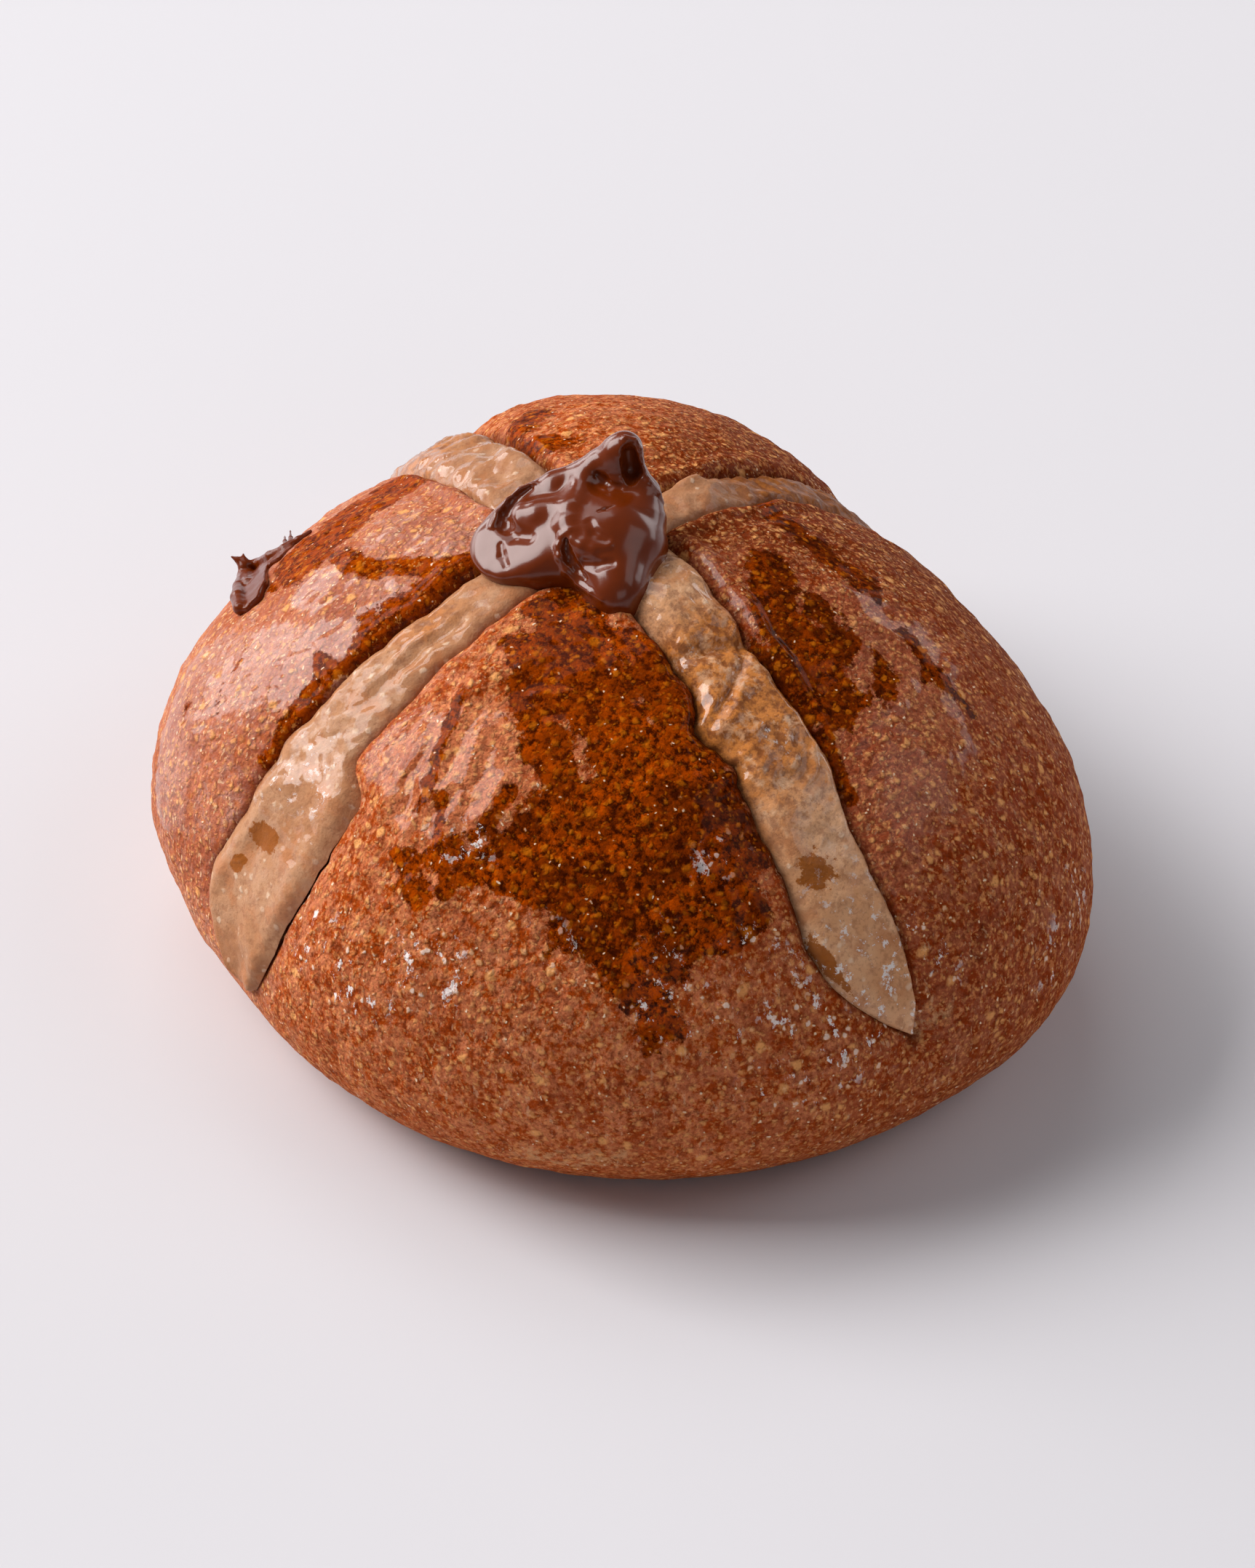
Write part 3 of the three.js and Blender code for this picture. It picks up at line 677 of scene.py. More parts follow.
# The dollop is described in axes to the right, away and up, seen from between -Y and +X.
RIGHT = np.array([1, 1, 0]) / np.sqrt(2)
AWAY = np.array([-1, 1, 0]) / np.sqrt(2)
UP = np.array([0, 0, 1])
TOP = 45.6  # height of the dollop's own zero
VIEW_TURN, VIEW_RISE = 45.0, 41.0  # the camera stands this far round from -Y towards +X, and this high
DOLLOP_SIGHT = (25, -15, 1601)  # start, end and number of the places tried along a line of sight
DOUGH_SIGHT = (60, -60, 2401)
DOLLOP_BOX = ((-15, -11, -3.6), (7, 9, 10.6))
DOLLOP_STEP = 0.15
SMEAR_MARGIN = 1.5
SMEAR_STEP = 0.12


def view_axes(away):
    """Directions towards the camera and up its view, which looks along 'away' from above."""
    rise = np.radians(VIEW_RISE)
    return np.sin(rise) * UP - np.cos(rise) * away, np.cos(rise) * UP + np.sin(rise) * away


def first_inside(line, gap):
    """The first place along a line where the gap to a surface closes, or where it is least."""
    return line[np.argmax(gap <= 0) if (gap <= 0).any() else np.argmin(gap)]


def ellipsoid(q, centre, radii):
    """About the distance to an ellipsoid; negative inside."""
    k = np.linalg.norm((q - centre) / radii, axis=-1)
    return (k - 1) * min(radii) * 0.9


def rope(q, stops):
    """Distance to a rope through (right, away, up, radius) stops, its radius changing evenly between them."""
    best = None
    for a, b in zip(stops, stops[1:]):
        pa, pb = np.array(a[:3]), np.array(b[:3])
        ab = pb - pa
        t = np.clip(((q - pa) @ ab) / (ab @ ab), 0, 1)
        d = np.linalg.norm(q - pa - t[..., None] * ab, axis=-1) - (a[3] + (b[3] - a[3]) * t)
        best = d if best is None else blend(best, d, 0.3)
    return best


def blend(a, b, width):
    """The smaller of two distances, run together over a width."""
    h = np.clip(0.5 + 0.5 * (b - a) / width, 0, 1)
    return b + (a - b) * h - width * h * (1 - h)


def carve(a, b, width):
    """The larger of a distance and the opposite of another, run together over a width."""
    return -blend(-a, b, width)


LOBES = (
    ((-2.9, 0.8, 0.2), (6.3, 6.1, 5.2)),
    ((-10.1, 0.0, 0.2), (3.6, 4.4, 2.7)),
    ((-0.5, -1.2, 1.1), (5.6, 5.3, 4.8)),
    ((-6.9, -1.2, 0.5), (4.2, 4.1, 3.2)),
    ((0.2, -5.6, -0.1), (3.2, 4.0, 3.6)),
    ((-7.9, 3.4, 0.7), (3.3, 2.9, 3.3)),
)
SHELF = (np.array([-0.45, -0.333, 0.829]), 6.9)  # the flat slope across the left lobes
PEAK = (
    ((0.5, 2.6, 2.2, 2.6), (0.3, 3.8, 4.6, 2.0), (0.5, 4.6, 6.6, 1.6), (0.9, 4.8, 8.0, 1.4)),
    ((-7.4, 4.4, 2.8, 1.5), (-5.4, 4.6, 3.9, 1.6), (-3.2, 4.8, 5.0, 1.4), (-1.2, 4.9, 6.4, 1.4),
     (0.3, 4.9, 7.6, 1.5), (1.2, 4.9, 8.2, 1.4)),
    ((1.2, 4.9, 8.2, 1.4), (1.5, 4.6, 6.8, 1.4), (1.9, 4.0, 5.4, 1.5), (2.6, 3.0, 4.1, 1.9),
     (2.4, 1.4, 2.9, 2.6)),
)

# Folds as seen by the camera: (width they run in over, stops), and each stop is
# (right, up the view, lift above the surface, radius).
HOLLOWS = (
    (0.35, ((-7.9, 5.9, 0.05, 0.25), (-9.3, 4.9, 0.05, 0.5), (-10.2, 3.6, 0.05, 0.65),
        (-10.4, 2.4, 0.1, 0.6))),
    (0.8, ((-10.4, 2.4, 0.1, 0.6), (-9.6, 1.4, 0.2, 0.5), (-8.2, 1.2, 0.35, 0.4))),
    (0.08, ((-4.5, 0.6, 0.1, 0.25), (-4.5, -0.3, 0.05, 0.45), (-4.2, -1.2, 0.05, 0.52),
        (-3.6, -2.1, 0.1, 0.45), (-2.9, -3.0, 0.2, 0.3))),
    (0.5, ((-3.0, -1.6, 0.2, 0.35), (-1.7, -1.8, 0.18, 0.4), (-0.3, -1.6, 0.25, 0.3))),
    (0.6, ((-2.3, 2.4, 0.35, 0.3), (-1.9, 1.4, 0.3, 0.35), (-0.8, 0.7, 0.3, 0.25))),
    (0.2, ((1.9, 9.6, 0.2, 0.4), (1.6, 9.0, 0.0, 0.75), (1.6, 8.0, -0.1, 0.9), (1.8, 7.1, -0.1, 0.95),
        (1.7, 6.4, 0.1, 0.6))),
    (0.3, ((1.6, 8.8, -0.9, 0.6), (1.7, 7.3, -1.0, 0.7))),
    (0.25, ((-1.5, 6.9, 0.1, 0.3), (-0.9, 6.3, 0.1, 0.45), (-0.3, 5.9, 0.15, 0.35), (0.6, 5.7, 0.2, 0.35))),
    (0.15, ((-1.5, 3.35, 0.07, 0.1), (-0.7, 3.6, 0.06, 0.16), (0.0, 3.85, 0.07, 0.08))),
    (0.5, ((-10.8, 0.5, 0.15, 0.15), (-10.7, -0.5, 0.16, 0.26), (-10.3, -1.5, 0.15, 0.1))),
)
RIDGES = (
    (0.35, ((-7.6, 6.2, -0.1, 0.3), (-8.8, 5.6, -0.1, 0.38), (-9.9, 4.6, -0.1, 0.4),
        (-10.9, 3.4, -0.15, 0.42), (-11.5, 2.2, -0.25, 0.4))),
    (1.0, ((-8.2, 2.9, -1.1, 1.5), (-7.0, 3.1, -1.1, 1.5), (-5.8, 3.4, -1.2, 1.3))),
    (0.25, ((-4.2, 1.35, -0.1, 0.28), (-4.9, 0.9, -0.1, 0.36), (-5.2, 0.1, -0.15, 0.42),
        (-5.1, -0.9, -0.15, 0.45), (-4.5, -2.2, -0.2, 0.42), (-3.4, -3.4, -0.2, 0.4),
        (-2.2, -4.4, -0.25, 0.36), (-1.2, -5.1, -0.3, 0.3))),
    (1.2, ((-2.7, 6.8, -0.5, 0.8), (-3.2, 5.2, -0.7, 1.0), (-4.0, 3.6, -0.9, 1.1), (-4.3, 2.2, -0.7, 0.9),
        (-4.1, 1.4, -0.5, 0.6))),
    (0.5, ((-3.8, 0.6, -0.35, 0.5), (-3.0, 0.1, -0.4, 0.55), (-1.8, -0.3, -0.4, 0.5),
        (-0.6, -0.1, -0.4, 0.4))),
    (0.25, ((1.2, 10.3, -0.1, 0.3), (2.1, 10.0, -0.05, 0.3), (2.5, 9.2, -0.1, 0.32), (2.55, 8.2, -0.1, 0.32),
        (2.75, 7.3, -0.1, 0.34), (3.3, 6.2, -0.1, 0.34), (4.2, 5.0, -0.15, 0.3), (4.6, 4.2, -0.2, 0.2))),
)


def body_field(q):
    """The dollop's body: lobes run together, with a peak drawn up at the back."""
    d = None
    for centre, radii in LOBES:
        e = ellipsoid(q, centre, radii)
        d = e if d is None else blend(d, e, 1.3)
    d = carve(d, SHELF[1] - q @ SHELF[0], 0.5)
    for stops in PEAK:
        d = blend(d, rope(q, stops), 0.9)
    return d


def laid(stops):
    """Turns stops given as seen by the camera into places on the dollop's body, lifted from its surface."""
    toward, up_view = view_axes(np.array([0, 1, 0]))
    places = []
    for right, up, lift, radius in stops:
        line = np.array([right, 0, 0]) + up * up_view + np.linspace(*DOLLOP_SIGHT)[:, None] * toward
        place = first_inside(line, body_field(line))
        places.append((*(place + toward * lift), radius))
    return places


FOLDS = [(blend, width, laid(stops)) for width, stops in RIDGES]
FOLDS += [(carve, width, laid(stops)) for width, stops in HOLLOWS]


def dollop_field(q):
    """The dollop with its folds, cut off flat underneath."""
    d = body_field(q)
    for join, width, stops in FOLDS:
        d = join(d, rope(q, stops), width)
    d = d + 0.05 * noise(q, 2.6, 5) + 0.025 * noise(q, 1.4, 6)
    return np.maximum(d, -3.0 - q[..., 2])


# The smear as seen by the camera, from its middle: (right, up the view, lift above the dough, radius).
SMEAR_MIDDLE = (-34.8, 23.5)
SMEAR_FILM = (
    ((-0.7, 2.1, 0.2, 0.6), (-0.3, 1.0, 0.1, 1.1), (-0.2, -0.4, 0.1, 1.2), (-0.4, -1.6, 0.1, 0.9),
     (-0.6, -2.2, 0.0, 0.6)),
    ((-0.6, 2.2, 0.2, 0.4), (0.9, 2.0, 0.1, 0.8), (2.4, 2.8, 0.0, 0.7), (3.4, 3.6, 0.0, 0.4)),
    ((0.5, 1.3, 0.1, 0.9), (0.5, -0.2, 0.1, 0.8), (0.2, -1.3, 0.0, 0.6)),
)
SMEAR_ROPES = (  # the drip, then the thick strand of the smear and its short spikes
    ((-1.2, 2.1, 0.6, 0.46), (-1.35, 1.0, 0.5, 0.52), (-1.4, -0.3, 0.5, 0.62), (-1.35, -1.5, 0.5, 0.74),
     (-1.15, -2.5, 0.4, 0.68)),
    ((-1.1, 1.9, 0.4, 0.5), (-0.9, 1.2, 0.35, 0.6), (-0.7, 0.2, 0.3, 0.5)),
    ((-0.9, 2.0, 0.6, 0.45), (0.3, 2.2, 0.55, 0.55), (1.6, 2.6, 0.5, 0.55), (2.9, 3.4, 0.35, 0.45),
     (4.2, 4.4, 0.2, 0.35), (5.3, 5.3, 0.1, 0.15)),
    ((-1.2, 2.0, 0.6, 0.4), (-1.6, 2.4, 0.8, 0.26), (-2.1, 2.6, 1.0, 0.08)),
    ((-1.1, 1.9, 0.6, 0.38), (-1.0, 2.4, 0.8, 0.22), (-0.95, 2.8, 1.0, 0.08)),
    ((2.9, 3.4, 0.2, 0.4), (3.0, 4.1, 0.6, 0.16), (3.05, 4.6, 1.0, 0.06)),
    ((3.4, 3.8, 0.2, 0.4), (3.6, 4.4, 0.6, 0.16), (3.7, 4.9, 1.0, 0.06)),
)


def above_dough(q):
    """Height above the dough's plain surface of points given from the middle of the belly."""
    flat = np.hypot(q[..., 0], q[..., 1])
    turn, rise = np.arctan2(q[..., 1], q[..., 0]), np.arctan2(q[..., 2], flat)
    return np.hypot(flat, q[..., 2]) - plain_radius(turn, rise) - QUARTER_RISE * 0.9


def on_dough(right, up):
    """The place on the dough, and its normal, that the camera sees at a place across its view."""
    toward, up_view = view_axes(AWAY)
    line = right * RIGHT + up * up_view + np.linspace(*DOUGH_SIGHT)[:, None] * toward
    place = first_inside(line, above_dough(line))
    normal = np.array([above_dough(place + d) - above_dough(place - d) for d in np.eye(3) * 0.1])
    return place, normal / np.linalg.norm(normal)


def make_smear(material):
    middle, normal = on_dough(*SMEAR_MIDDLE)
    across = np.cross(normal, UP) / np.linalg.norm(np.cross(normal, UP))
    axes = np.array([across, np.cross(normal, across), normal])

    def placed(stops):
        places = []
        for right, up, lift, radius in stops:
            place, outward = on_dough(SMEAR_MIDDLE[0] + right, SMEAR_MIDDLE[1] + up)
            places.append((*(axes @ (place + lift * outward - middle)), radius))
        return places

    film, ropes = ([placed(stops) for stops in group] for group in (SMEAR_FILM, SMEAR_ROPES))
    every = np.array([stop[:3] for stops in film + ropes for stop in stops])

    def field(q):
        height = above_dough(middle + q @ axes)
        d = blend(blend(rope(q, film[0]), rope(q, film[1]), 0.8), rope(q, film[2]), 0.8)
        d = np.maximum(d, height - 0.35 - 0.1 * noise(q, 1.5, 9))
        for stops in ropes:
            d = blend(d, rope(q, stops), 0.4)
        return np.maximum(d + 0.05 * noise(q, 1.2, 15), -0.8 - height)

    points, faces = mesh_of_field(field, every.min(0) - SMEAR_MARGIN, every.max(0) + SMEAR_MARGIN, SMEAR_STEP)
    world = middle + points @ axes + BELLY_HEIGHT * UP
    mesh_object("spread_smear", world, faces, material, "smear")


def edge_ends(values, axis, spans):
    """Values at the two ends of a grid's edges along an axis, within a span of each other axis."""
    first, second = list(spans), list(spans)
    first[axis], second[axis] = slice(0, -1), slice(1, None)
    return values[tuple(first)], values[tuple(second)]


def cell_crossings(values):
    """How many edges of each cell change sign, and the sum of the places in the cell where they do."""
    count = np.zeros([n - 1 for n in values.shape])
    total = np.zeros((*count.shape, 3))
    for axis in range(3):
        others = [k for k in range(3) if k != axis]
        for shift in itertools.product((0, 1), repeat=2):
            spans = [slice(None)] * 3
            for k, s in zip(others, shift):
                spans[k] = slice(s, count.shape[k] + s)
            a, b = edge_ends(values, axis, spans)
            crossed = (a < 0) != (b < 0)
            count += crossed
            total[..., axis] += np.where(crossed, a / np.where(crossed, a - b, 1), 0)
            for k, s in zip(others, shift):
                total[..., k] += crossed * s
    return count, total


def crossing_quads(inside, number):
    """Quads between the numbered cells round each edge of the grid that leaves or enters the inside."""
    quads = []
    for axis in range(3):
        starts, ends = edge_ends(inside, axis, [slice(1, -1)] * 3)
        for crossed, order in ((starts & ~ends, 1), (~starts & ends, -1)):
            at = np.argwhere(crossed) + (np.arange(3) != axis)
            ring = []
            for step_u, step_v in ((1, 1), (0, 1), (0, 0), (1, 0)):
                cell = at.copy()
                cell[:, (axis + 1) % 3] -= step_u
                cell[:, (axis + 2) % 3] -= step_v
                ring.append(number[tuple(cell.T)])
            quads.append(np.stack(ring, -1)[:, ::order])
    return np.concatenate(quads)


def mesh_of_field(field, low, high, step):
    """Points and triangles of the surface where a field is zero: one point in each cell that it crosses."""
    axes = [np.arange(a, b, step) for a, b in zip(low, high)]
    values = np.empty([len(a) for a in axes], np.float32)
    for i, x in enumerate(axes[0]):
        slab = np.stack(np.broadcast_arrays(x, *np.meshgrid(axes[1], axes[2], indexing="ij")), -1)
        values[i] = field(slab)
    count, total = cell_crossings(values)
    used = count > 0
    number = np.full(count.shape, -1)
    number[used] = np.arange(used.sum())
    points = np.array(low) + (np.argwhere(used) + total[used] / count[used][:, None]) * step
    for _ in range(2):
        points = onto_surface(field, points, step)
    return points, halved(crossing_quads(values < 0, number))


def onto_surface(field, points, step):
    """Moves points onto the field's zero along its slope."""
    value = field(points)
    slope = np.stack([field(points + d) - field(points - d) for d in np.eye(3) * 0.04], -1) / 0.08
    move = value[:, None] * slope / np.maximum((slope**2).sum(1), 0.2)[:, None]
    return points - np.clip(move, -step, step)


def make_dollop(material):
    points, faces = mesh_of_field(dollop_field, *DOLLOP_BOX, DOLLOP_STEP)
    world = points[:, :1] * RIGHT + points[:, 1:2] * AWAY + (points[:, 2:] + TOP) * UP
    mesh_object("spread_dollop", world, faces, material, "spread")


# ---- Materials ----

def rgb(red, green, blue):
    """A colour from sRGB values of 0 to 255."""
    share = np.array([red, green, blue]) / 255
    linear = np.where(share <= 0.04045, share / 12.92, ((share + 0.055) / 1.055) ** 2.4)
    return (*linear.tolist(), 1.0)


class Surface:
    """A material and short ways to add nodes to it. Places and sizes are in millimetres."""

    def __init__(self, name):
        self.material = bpy.data.materials.new(name)
        self.material.use_nodes = True
        self.nodes = self.material.node_tree.nodes
        self.links = self.material.node_tree.links
        self.shader = self.nodes["Principled BSDF"]
        metres = self.add("TexCoord", {}).outputs["Object"]
        self.place = self.add("VectorMath", {0: metres, "Scale": 1 / MM}, operation="SCALE").outputs[0]

    def add(self, kind, inputs, **settings):
        """A new node, with values or wires for its inputs by name or number."""
        node = self.nodes.new("ShaderNode" + kind)
        for name, setting in settings.items():
            setattr(node, name, setting)
        for key, value in inputs.items():
            self.wire(value, node.inputs[key])
        return node

    def wire(self, value, socket):
        if isinstance(value, bpy.types.NodeSocket):
            self.links.new(value, socket)
        else:
            socket.default_value = value

    def noise(self, size, detail, rough=0.55, stretch=None):
        place = self.place
        if stretch:
            place = self.add("VectorMath", {0: place, 1: stretch}, operation="MULTIPLY").outputs[0]
        inputs = {"Scale": 1 / size, "Detail": detail, "Roughness": rough, "Vector": place}
        return self.add("TexNoise", inputs).outputs["Fac"]

    def warped(self, size, amount):
        """Places pushed about by noise, by up to about an amount."""
        push = self.add("TexNoise", {"Scale": 1 / size, "Vector": self.place}).outputs["Color"]
        inputs = {0: push, 1: (amount * 2,) * 3, 2: self.place}
        return self.add("VectorMath", inputs, operation="MULTIPLY_ADD").outputs[0]

    def cells(self, size, place):
        """Distance from the middle of each random cell, and a random number for the cell."""
        node = self.add("TexVoronoi", {"Scale": 1 / size, "Vector": place})
        draw = self.add("SeparateColor", {0: node.outputs["Color"]}).outputs[0]
        return self.times(node.outputs["Distance"], size), draw

    def value(self, name):
        """A value that was stored at the mesh's points."""
        return self.add("Attribute", {}, attribute_name=name).outputs["Fac"]

    def math(self, operation, *numbers):
        return self.add("Math", dict(enumerate(numbers)), operation=operation).outputs[0]

    def times(self, a, b):
        return self.math("MULTIPLY", a, b)

    def plus(self, a, b):
        return self.math("ADD", a, b)

    def most(self, a, b):
        return self.math("MAXIMUM", a, b)

    def step(self, value, low, high, result_low=0.0, result_high=1.0):
        """A smooth step from one result to the other as the value goes from low to high."""
        inputs = dict(enumerate((value, low, high, result_low, result_high)))
        return self.add("MapRange", inputs, interpolation_type="SMOOTHSTEP").outputs[0]

    def fade(self, share, start, end):
        """A smooth change from start to end as a share goes from 0 to 1."""
        return self.step(share, 0.0, 1.0, start, end)

    def mix(self, share, a, b):
        return self.add("Mix", {"Factor": share, 6: a, 7: b}, data_type="RGBA").outputs[2]

    def painted(self, colour, *coats):
        """A colour under coats of paint, each one a share and a colour."""
        for share, paint in coats:
            colour = self.mix(share, colour, paint)
        return colour

    def bump(self, height, depth):
        """A normal from a height."""
        return self.add("Bump", {"Strength": 1.0, "Distance": depth * MM, "Height": height}).outputs[0]

    def set(self, **inputs):
        for name, value in inputs.items():
            self.wire(value, self.shader.inputs[name.replace("_", " ")])


def dry_crust(m, haze_and_painted_sheen, broad, fine, left, right):
    """Colour of the crust where no glaze lies on it."""
    # Each colour has a lighter copy on the left, painted light and painted sheen, and a darker copy on the
    # right, painted shade.
    orange = m.mix(right, m.mix(left, rgb(170, 66, 10), rgb(196, 90, 22)), rgb(142, 52, 12))
    # rose: the dry glaze's own pinkish tone, partly painted sheen
    rose_and_painted_sheen = m.mix(right, m.mix(left, rgb(208, 121, 80), rgb(188, 130, 112)), rgb(166, 92, 64))
    hazy_and_painted_sheen = m.most(m.step(m.noise(1.7, 6, 0.7), 0.43, 0.56), m.times(haze_and_painted_sheen, 0.85))
    mottle = m.noise(0.55, 3, 0.6)
    strong = m.fade(left, 0.5, 0.3)
    return m.painted(
        m.mix(m.most(hazy_and_painted_sheen, m.times(left, 0.6)), orange, rose_and_painted_sheen),
        (m.step(broad, 0.42, 0.62, 0.0, 0.45), rgb(148, 58, 22)),
        # lighter towards the bottom; its lighter left copy is painted light
        (m.times(m.value("low"), 0.45), m.mix(left, rgb(200, 104, 54), rgb(236, 168, 130))),
        # painted shade: darker towards the back
        (m.times(m.value("back"), 0.85), rgb(112, 42, 12)),
        (m.times(m.step(mottle, 0.5, 0.64), strong), rgb(232, 150, 92)),
        (m.times(m.step(mottle, 0.48, 0.34), strong), rgb(140, 56, 20)),
        # dark specks, lighter on the left as painted light
        (m.step(fine, 0.5, 0.36, 0.0, 0.65), m.mix(left, rgb(116, 44, 16), rgb(178, 88, 44))),
    )


def wet_crust(m, broad, fine, left, right):
    """Colour of the crust under wet glaze."""
    # lit: a brighter copy of the wet film, painted light, used on the left and in the lit amber strokes
    lit = m.mix(m.step(fine, 0.4, 0.56), rgb(88, 26, 0), rgb(156, 60, 0))
    return m.painted(
        m.mix(m.step(fine, 0.4, 0.58), rgb(66, 18, 0), rgb(190, 74, 0)),
        (m.step(broad, 0.42, 0.6, 0.0, 0.55), rgb(74, 20, 0)),
        (m.step(m.noise(2.4, 4, 0.65), 0.42, 0.6, 0.45, 0.0), rgb(48, 12, 0)),
        # painted shade: darker wet film on the right
        (m.times(right, 0.4), rgb(64, 18, 0)),
        (m.most(m.times(m.value("painted_lit_amber"), 0.6), m.times(left, 0.95)), lit),
    )


def crust_material():
    m = Surface("glazed crust")
    broad, fine, grain = m.noise(7, 3), m.noise(0.9, 5, 0.72), m.noise(0.33, 3, 0.65)
    uneven = m.warped(0.9, 0.45)
    tiny, tiny_draw = m.cells(0.5, uneven)
    small, small_draw = m.cells(1.0, uneven)
    large, large_draw = m.cells(2.3, uneven)
    ragged = m.math("SUBTRACT", m.noise(2.8, 6, 0.66), 0.5)
    wet = m.step(m.plus(m.value("wet"), m.math("MULTIPLY_ADD", ragged, 7.0, 0.2)), 0.0, 0.4)
    wet = m.most(wet, m.step(m.plus(m.value("thin"), m.times(ragged, 3.0)), -0.1, 0.2))
    haze_and_painted_sheen = m.step(m.plus(m.value("haze_and_painted_sheen"), m.times(ragged, 7.0)), -0.2, 0.8)
    left, right = m.value("left"), m.value("right")
    dots = m.times(m.times(m.step(tiny, 0.24, 0.08), m.step(tiny_draw, 0.35, 0.8)), 0.7)
    dots = m.most(dots, m.times(m.step(small, 0.44, 0.14), m.step(small_draw, 0.3, 0.9)))
    dots = m.most(dots, m.times(m.step(large, 0.7, 0.3), m.step(large_draw, 0.7, 0.8)))
    glint = m.times(m.step(tiny, 0.14, 0.08), m.step(tiny_draw, 0.93, 0.95))
    # painted highlight streaks, pale and drawn out upwards, most on the left
    painted_highlight_streak = m.step(m.noise(0.55, 3, 0.6, (1, 1, 0.45)), 0.6, 0.68, 0.0, 0.5)
    painted_highlight_streak = m.times(painted_highlight_streak, m.math("SUBTRACT", m.fade(left, 0.6, 1.3), m.times(wet, 0.5)))
    # white flecks on the crust, painted glints
    flake_and_painted_glint = m.times(m.step(small, 0.3, 0.2), m.step(small_draw, 0.7, 0.74, 0.0, 0.6))
    flake_and_painted_glint = m.most(flake_and_painted_glint, m.step(m.noise(1.6, 5, 0.72, (1, 1, 0.6)), 0.59, 0.63))
    pale = m.times(m.value("pale"), m.step(m.noise(1.2, 4, 0.7), 0.45, 0.6, 0.0, 0.6))
    colour = m.painted(
        m.mix(wet, dry_crust(m, haze_and_painted_sheen, broad, fine, left, right), wet_crust(m, broad, fine, left, right)),
        (m.times(dots, 0.8), m.mix(wet, rgb(244, 172, 104), rgb(200, 106, 14))),
        # dark grain, lighter on the left as painted light
        (m.step(grain, 0.48, 0.3, 0.0, 0.4), m.mix(left, rgb(84, 30, 8), rgb(150, 66, 26))),
        (m.times(glint, 0.8), rgb(250, 226, 200)),
        # painted shade: dark brown in the creases beside the paste
        (m.times(m.value("crease_shade"), 0.8), rgb(76, 28, 4)),
        # painted highlight streaks
        (painted_highlight_streak, m.mix(wet, rgb(246, 200, 156), rgb(236, 160, 80))),
        # painted glints: white flecks
        (m.times(m.times(flake_and_painted_glint, m.value("fleck_and_painted_glint")), 0.85), rgb(250, 240, 236)),
        (pale, rgb(222, 168, 118)),
    )
    lumps = m.plus(m.step(small, 0.75, 0.1, 0.0, 0.5), m.step(tiny, 0.4, 0.05, 0.0, 0.25))
    height = m.plus(m.times(fine, 0.8), m.times(dots, 0.2))
    height = m.plus(m.plus(height, m.times(grain, 0.3)), lumps)
    normal = m.bump(m.times(height, m.fade(wet, 1.0, 0.7)), 0.32)
    dull = m.times(haze_and_painted_sheen, m.fade(wet, 1.0, 0.0))
    sheen = m.most(m.times(wet, 0.12), m.times(dull, m.fade(left, 0.45, 0.65)))
    rough = m.fade(m.most(wet, haze_and_painted_sheen), 0.5, 0.3)
    m.set(Base_Color=colour, Roughness=rough, Normal=normal, Specular_IOR_Level=0.0)
    m.set(Coat_Weight=m.most(sheen, 0.05), Coat_Roughness=0.09, Coat_IOR=1.4)
    return m.material


def paste_material():
    m = Surface("baked paste")
    patches, fine, grain = m.noise(2.6, 4), m.noise(0.9, 5, 0.65), m.noise(0.35, 3, 0.6)
    film = m.times(m.value("film"), m.step(m.noise(2.0, 5, 0.65), 0.36, 0.5))
    caramel = m.mix(m.step(fine, 0.4, 0.6), rgb(132, 66, 12), rgb(206, 122, 44))
    spots, draw = m.cells(1.1, m.warped(0.9, 0.4))
    pale = m.times(m.step(spots, 0.4, 0.16), m.step(draw, 0.65, 0.9))
    stain = m.step(m.math("MULTIPLY_ADD", m.noise(1.1, 5, 0.7), 1.5, m.value("stain")), 1.15, 1.27)
    # white flakes on the paste, partly glaze flakes and partly painted glints
    flake_and_painted_glint = m.times(m.value("fleck_and_painted_glint"), m.step(m.noise(1.3, 5, 0.75), 0.57, 0.62))
    colour = m.painted(
        m.mix(m.step(m.noise(5, 3), 0.35, 0.65), rgb(228, 178, 138), rgb(212, 154, 110)),
        (m.value("brown"), rgb(140, 86, 54)),
        (m.step(fine, 0.52, 0.36, 0.0, 0.5), rgb(160, 104, 72)),
        (m.step(patches, 0.5, 0.64, 0.0, 0.6), rgb(190, 122, 78)),
        (m.times(pale, 0.5), rgb(240, 212, 184)),
        (m.step(grain, 0.46, 0.3, 0.0, 0.35), rgb(140, 90, 62)),
        (m.times(film, 0.85), caramel),
        (m.times(stain, 0.9), rgb(150, 80, 18)),
        (m.times(flake_and_painted_glint, 0.85), rgb(236, 230, 228)),
        (m.times(m.value("shade"), 0.85), rgb(58, 26, 8)),
    )
    height = m.plus(m.times(fine, 0.8), m.times(grain, 0.25))
    normal = m.bump(m.plus(height, m.times(pale, 0.2)), 0.22)
    gloss = m.times(m.value("gloss"), m.step(patches, 0.36, 0.52))
    rough = m.fade(gloss, 0.45, 0.24)
    m.set(Base_Color=colour, Roughness=rough, Normal=normal, Specular_IOR_Level=0.02)
    gloss = m.times(gloss, m.fade(stain, 1.0, 0.3))
    m.set(Coat_Weight=m.fade(gloss, 0.1, 1.0), Coat_Roughness=0.08, Coat_IOR=1.42)
    return m.material


def spread_material(name, coat):
    m = Surface(name)
    waves = m.bump(m.noise(1.6, 2), 0.06)
    m.set(Base_Color=rgb(106, 38, 1), Roughness=0.35, Normal=waves, Specular_IOR_Level=0.06)
    m.set(Coat_Weight=coat, Coat_Roughness=0.18, Coat_IOR=1.45)
    return m.material


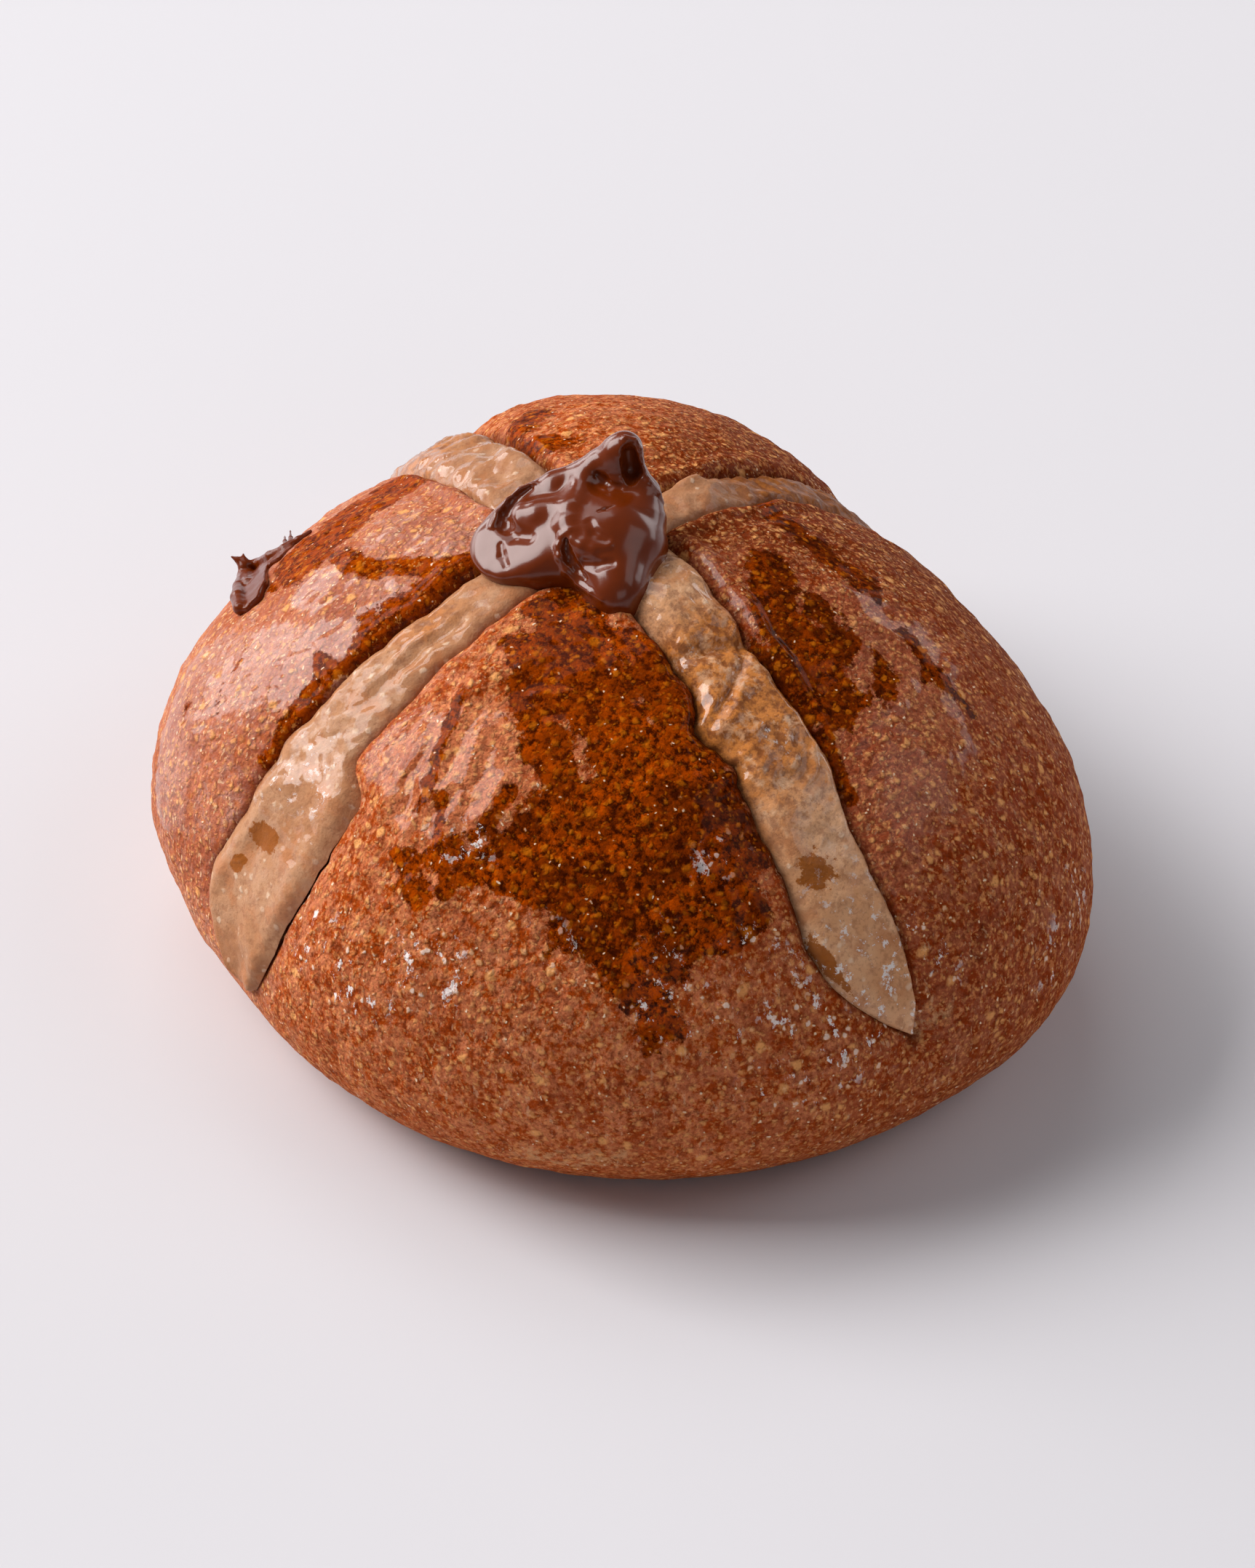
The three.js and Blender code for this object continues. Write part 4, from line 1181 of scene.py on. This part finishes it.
# ---- The camera, the floor and the light ----

VIEW_ROLL = 1.0
VIEW_DISTANCE = 0.835
LENS = 195.0
LOOK_AT = Vector((-0.0008, 0.00096, 0.01635))
FLOOR_REACH = 3.0
LAMPS = (  # (name, its turn and rise, its distance and size in metres, its power and its colour)
    ("window", -62, 40, 2.2, (1.5, 1.4), 58.0, (1.0, 0.99, 0.98)),
    ("wall", -88, 12, 2.2, (1.6, 0.7), 17.0, (1.0, 1.0, 1.0)),
    ("sky", -115, 54, 2.2, (1.3, 1.0), 8.0, (0.98, 0.99, 1.0)),
    ("ceiling", 128, 46, 2.2, (1.5, 1.2), 6.0, (0.98, 0.98, 1.0)),
    ("backdrop", 172, 14, 2.0, (1.8, 0.6), 8.0, (0.97, 0.97, 1.0)),
    ("fill", 62, 24, 2.2, (1.4, 0.8), 3.0, (0.97, 0.97, 1.0)),
)
SKY_COLOUR = (0.95, 0.96, 1.0, 1.0)
SKY_STRENGTH = 0.13


def view_direction(turn, rise):
    """Unit vector towards a place round from -Y towards +X, and above the floor."""
    t, r = np.radians(turn), np.radians(rise)
    return Vector((np.sin(t) * np.cos(r), -np.cos(t) * np.cos(r), np.sin(r)))


def make_camera():
    data = bpy.data.cameras.new("camera")
    data.lens = LENS
    data.sensor_fit = "VERTICAL"
    data.sensor_height = 36.0
    data.clip_start, data.clip_end = 0.01, 20.0
    camera = add_object("camera", data)
    stand = Vector(AXIS * MM) + view_direction(VIEW_TURN, VIEW_RISE) * VIEW_DISTANCE
    camera.location = stand
    aim = (LOOK_AT - stand).to_track_quat("-Z", "Y").to_matrix()
    camera.rotation_euler = (aim @ Matrix.Rotation(np.radians(-VIEW_ROLL), 3, "Z")).to_euler()
    bpy.context.scene.camera = camera


def make_floor():
    """A plain white floor."""
    surface = Surface("white table")
    surface.set(Base_Color=rgb(220, 217, 221), Roughness=0.6)
    mesh = bpy.data.meshes.new("floor")
    corners = [(x * FLOOR_REACH, y * FLOOR_REACH, 0) for x, y in ((-1, -1), (1, -1), (1, 1), (-1, 1))]
    mesh.from_pydata(corners, [], [(0, 1, 2, 3)])
    mesh.materials.append(surface.material)
    floor = add_object("floor", mesh)


def make_light(name, turn, rise, distance, size, power, colour):
    data = bpy.data.lights.new(name, "AREA")
    data.shape = "RECTANGLE"
    data.size, data.size_y = size
    data.energy = power
    data.color = colour
    lamp = add_object(name, data)
    lamp.location = view_direction(turn, rise) * distance
    lamp.rotation_euler = (-lamp.location).to_track_quat("-Z", "Y").to_euler()


def make_light_set():
    for lamp in LAMPS:
        make_light(*lamp)
    world = bpy.data.worlds.new("studio")
    world.use_nodes = True
    background = world.node_tree.nodes["Background"]
    background.inputs["Color"].default_value = SKY_COLOUR
    background.inputs["Strength"].default_value = SKY_STRENGTH
    bpy.context.scene.world = world
    bpy.context.scene.view_settings.view_transform = "Standard"


make_camera()
make_floor()
make_light_set()
make_dough(crust_material())
make_cross(paste_material())
make_dollop(spread_material("chocolate spread", 1.0))
make_smear(spread_material("smeared chocolate", 0.5))

bpy.context.view_layer.update()
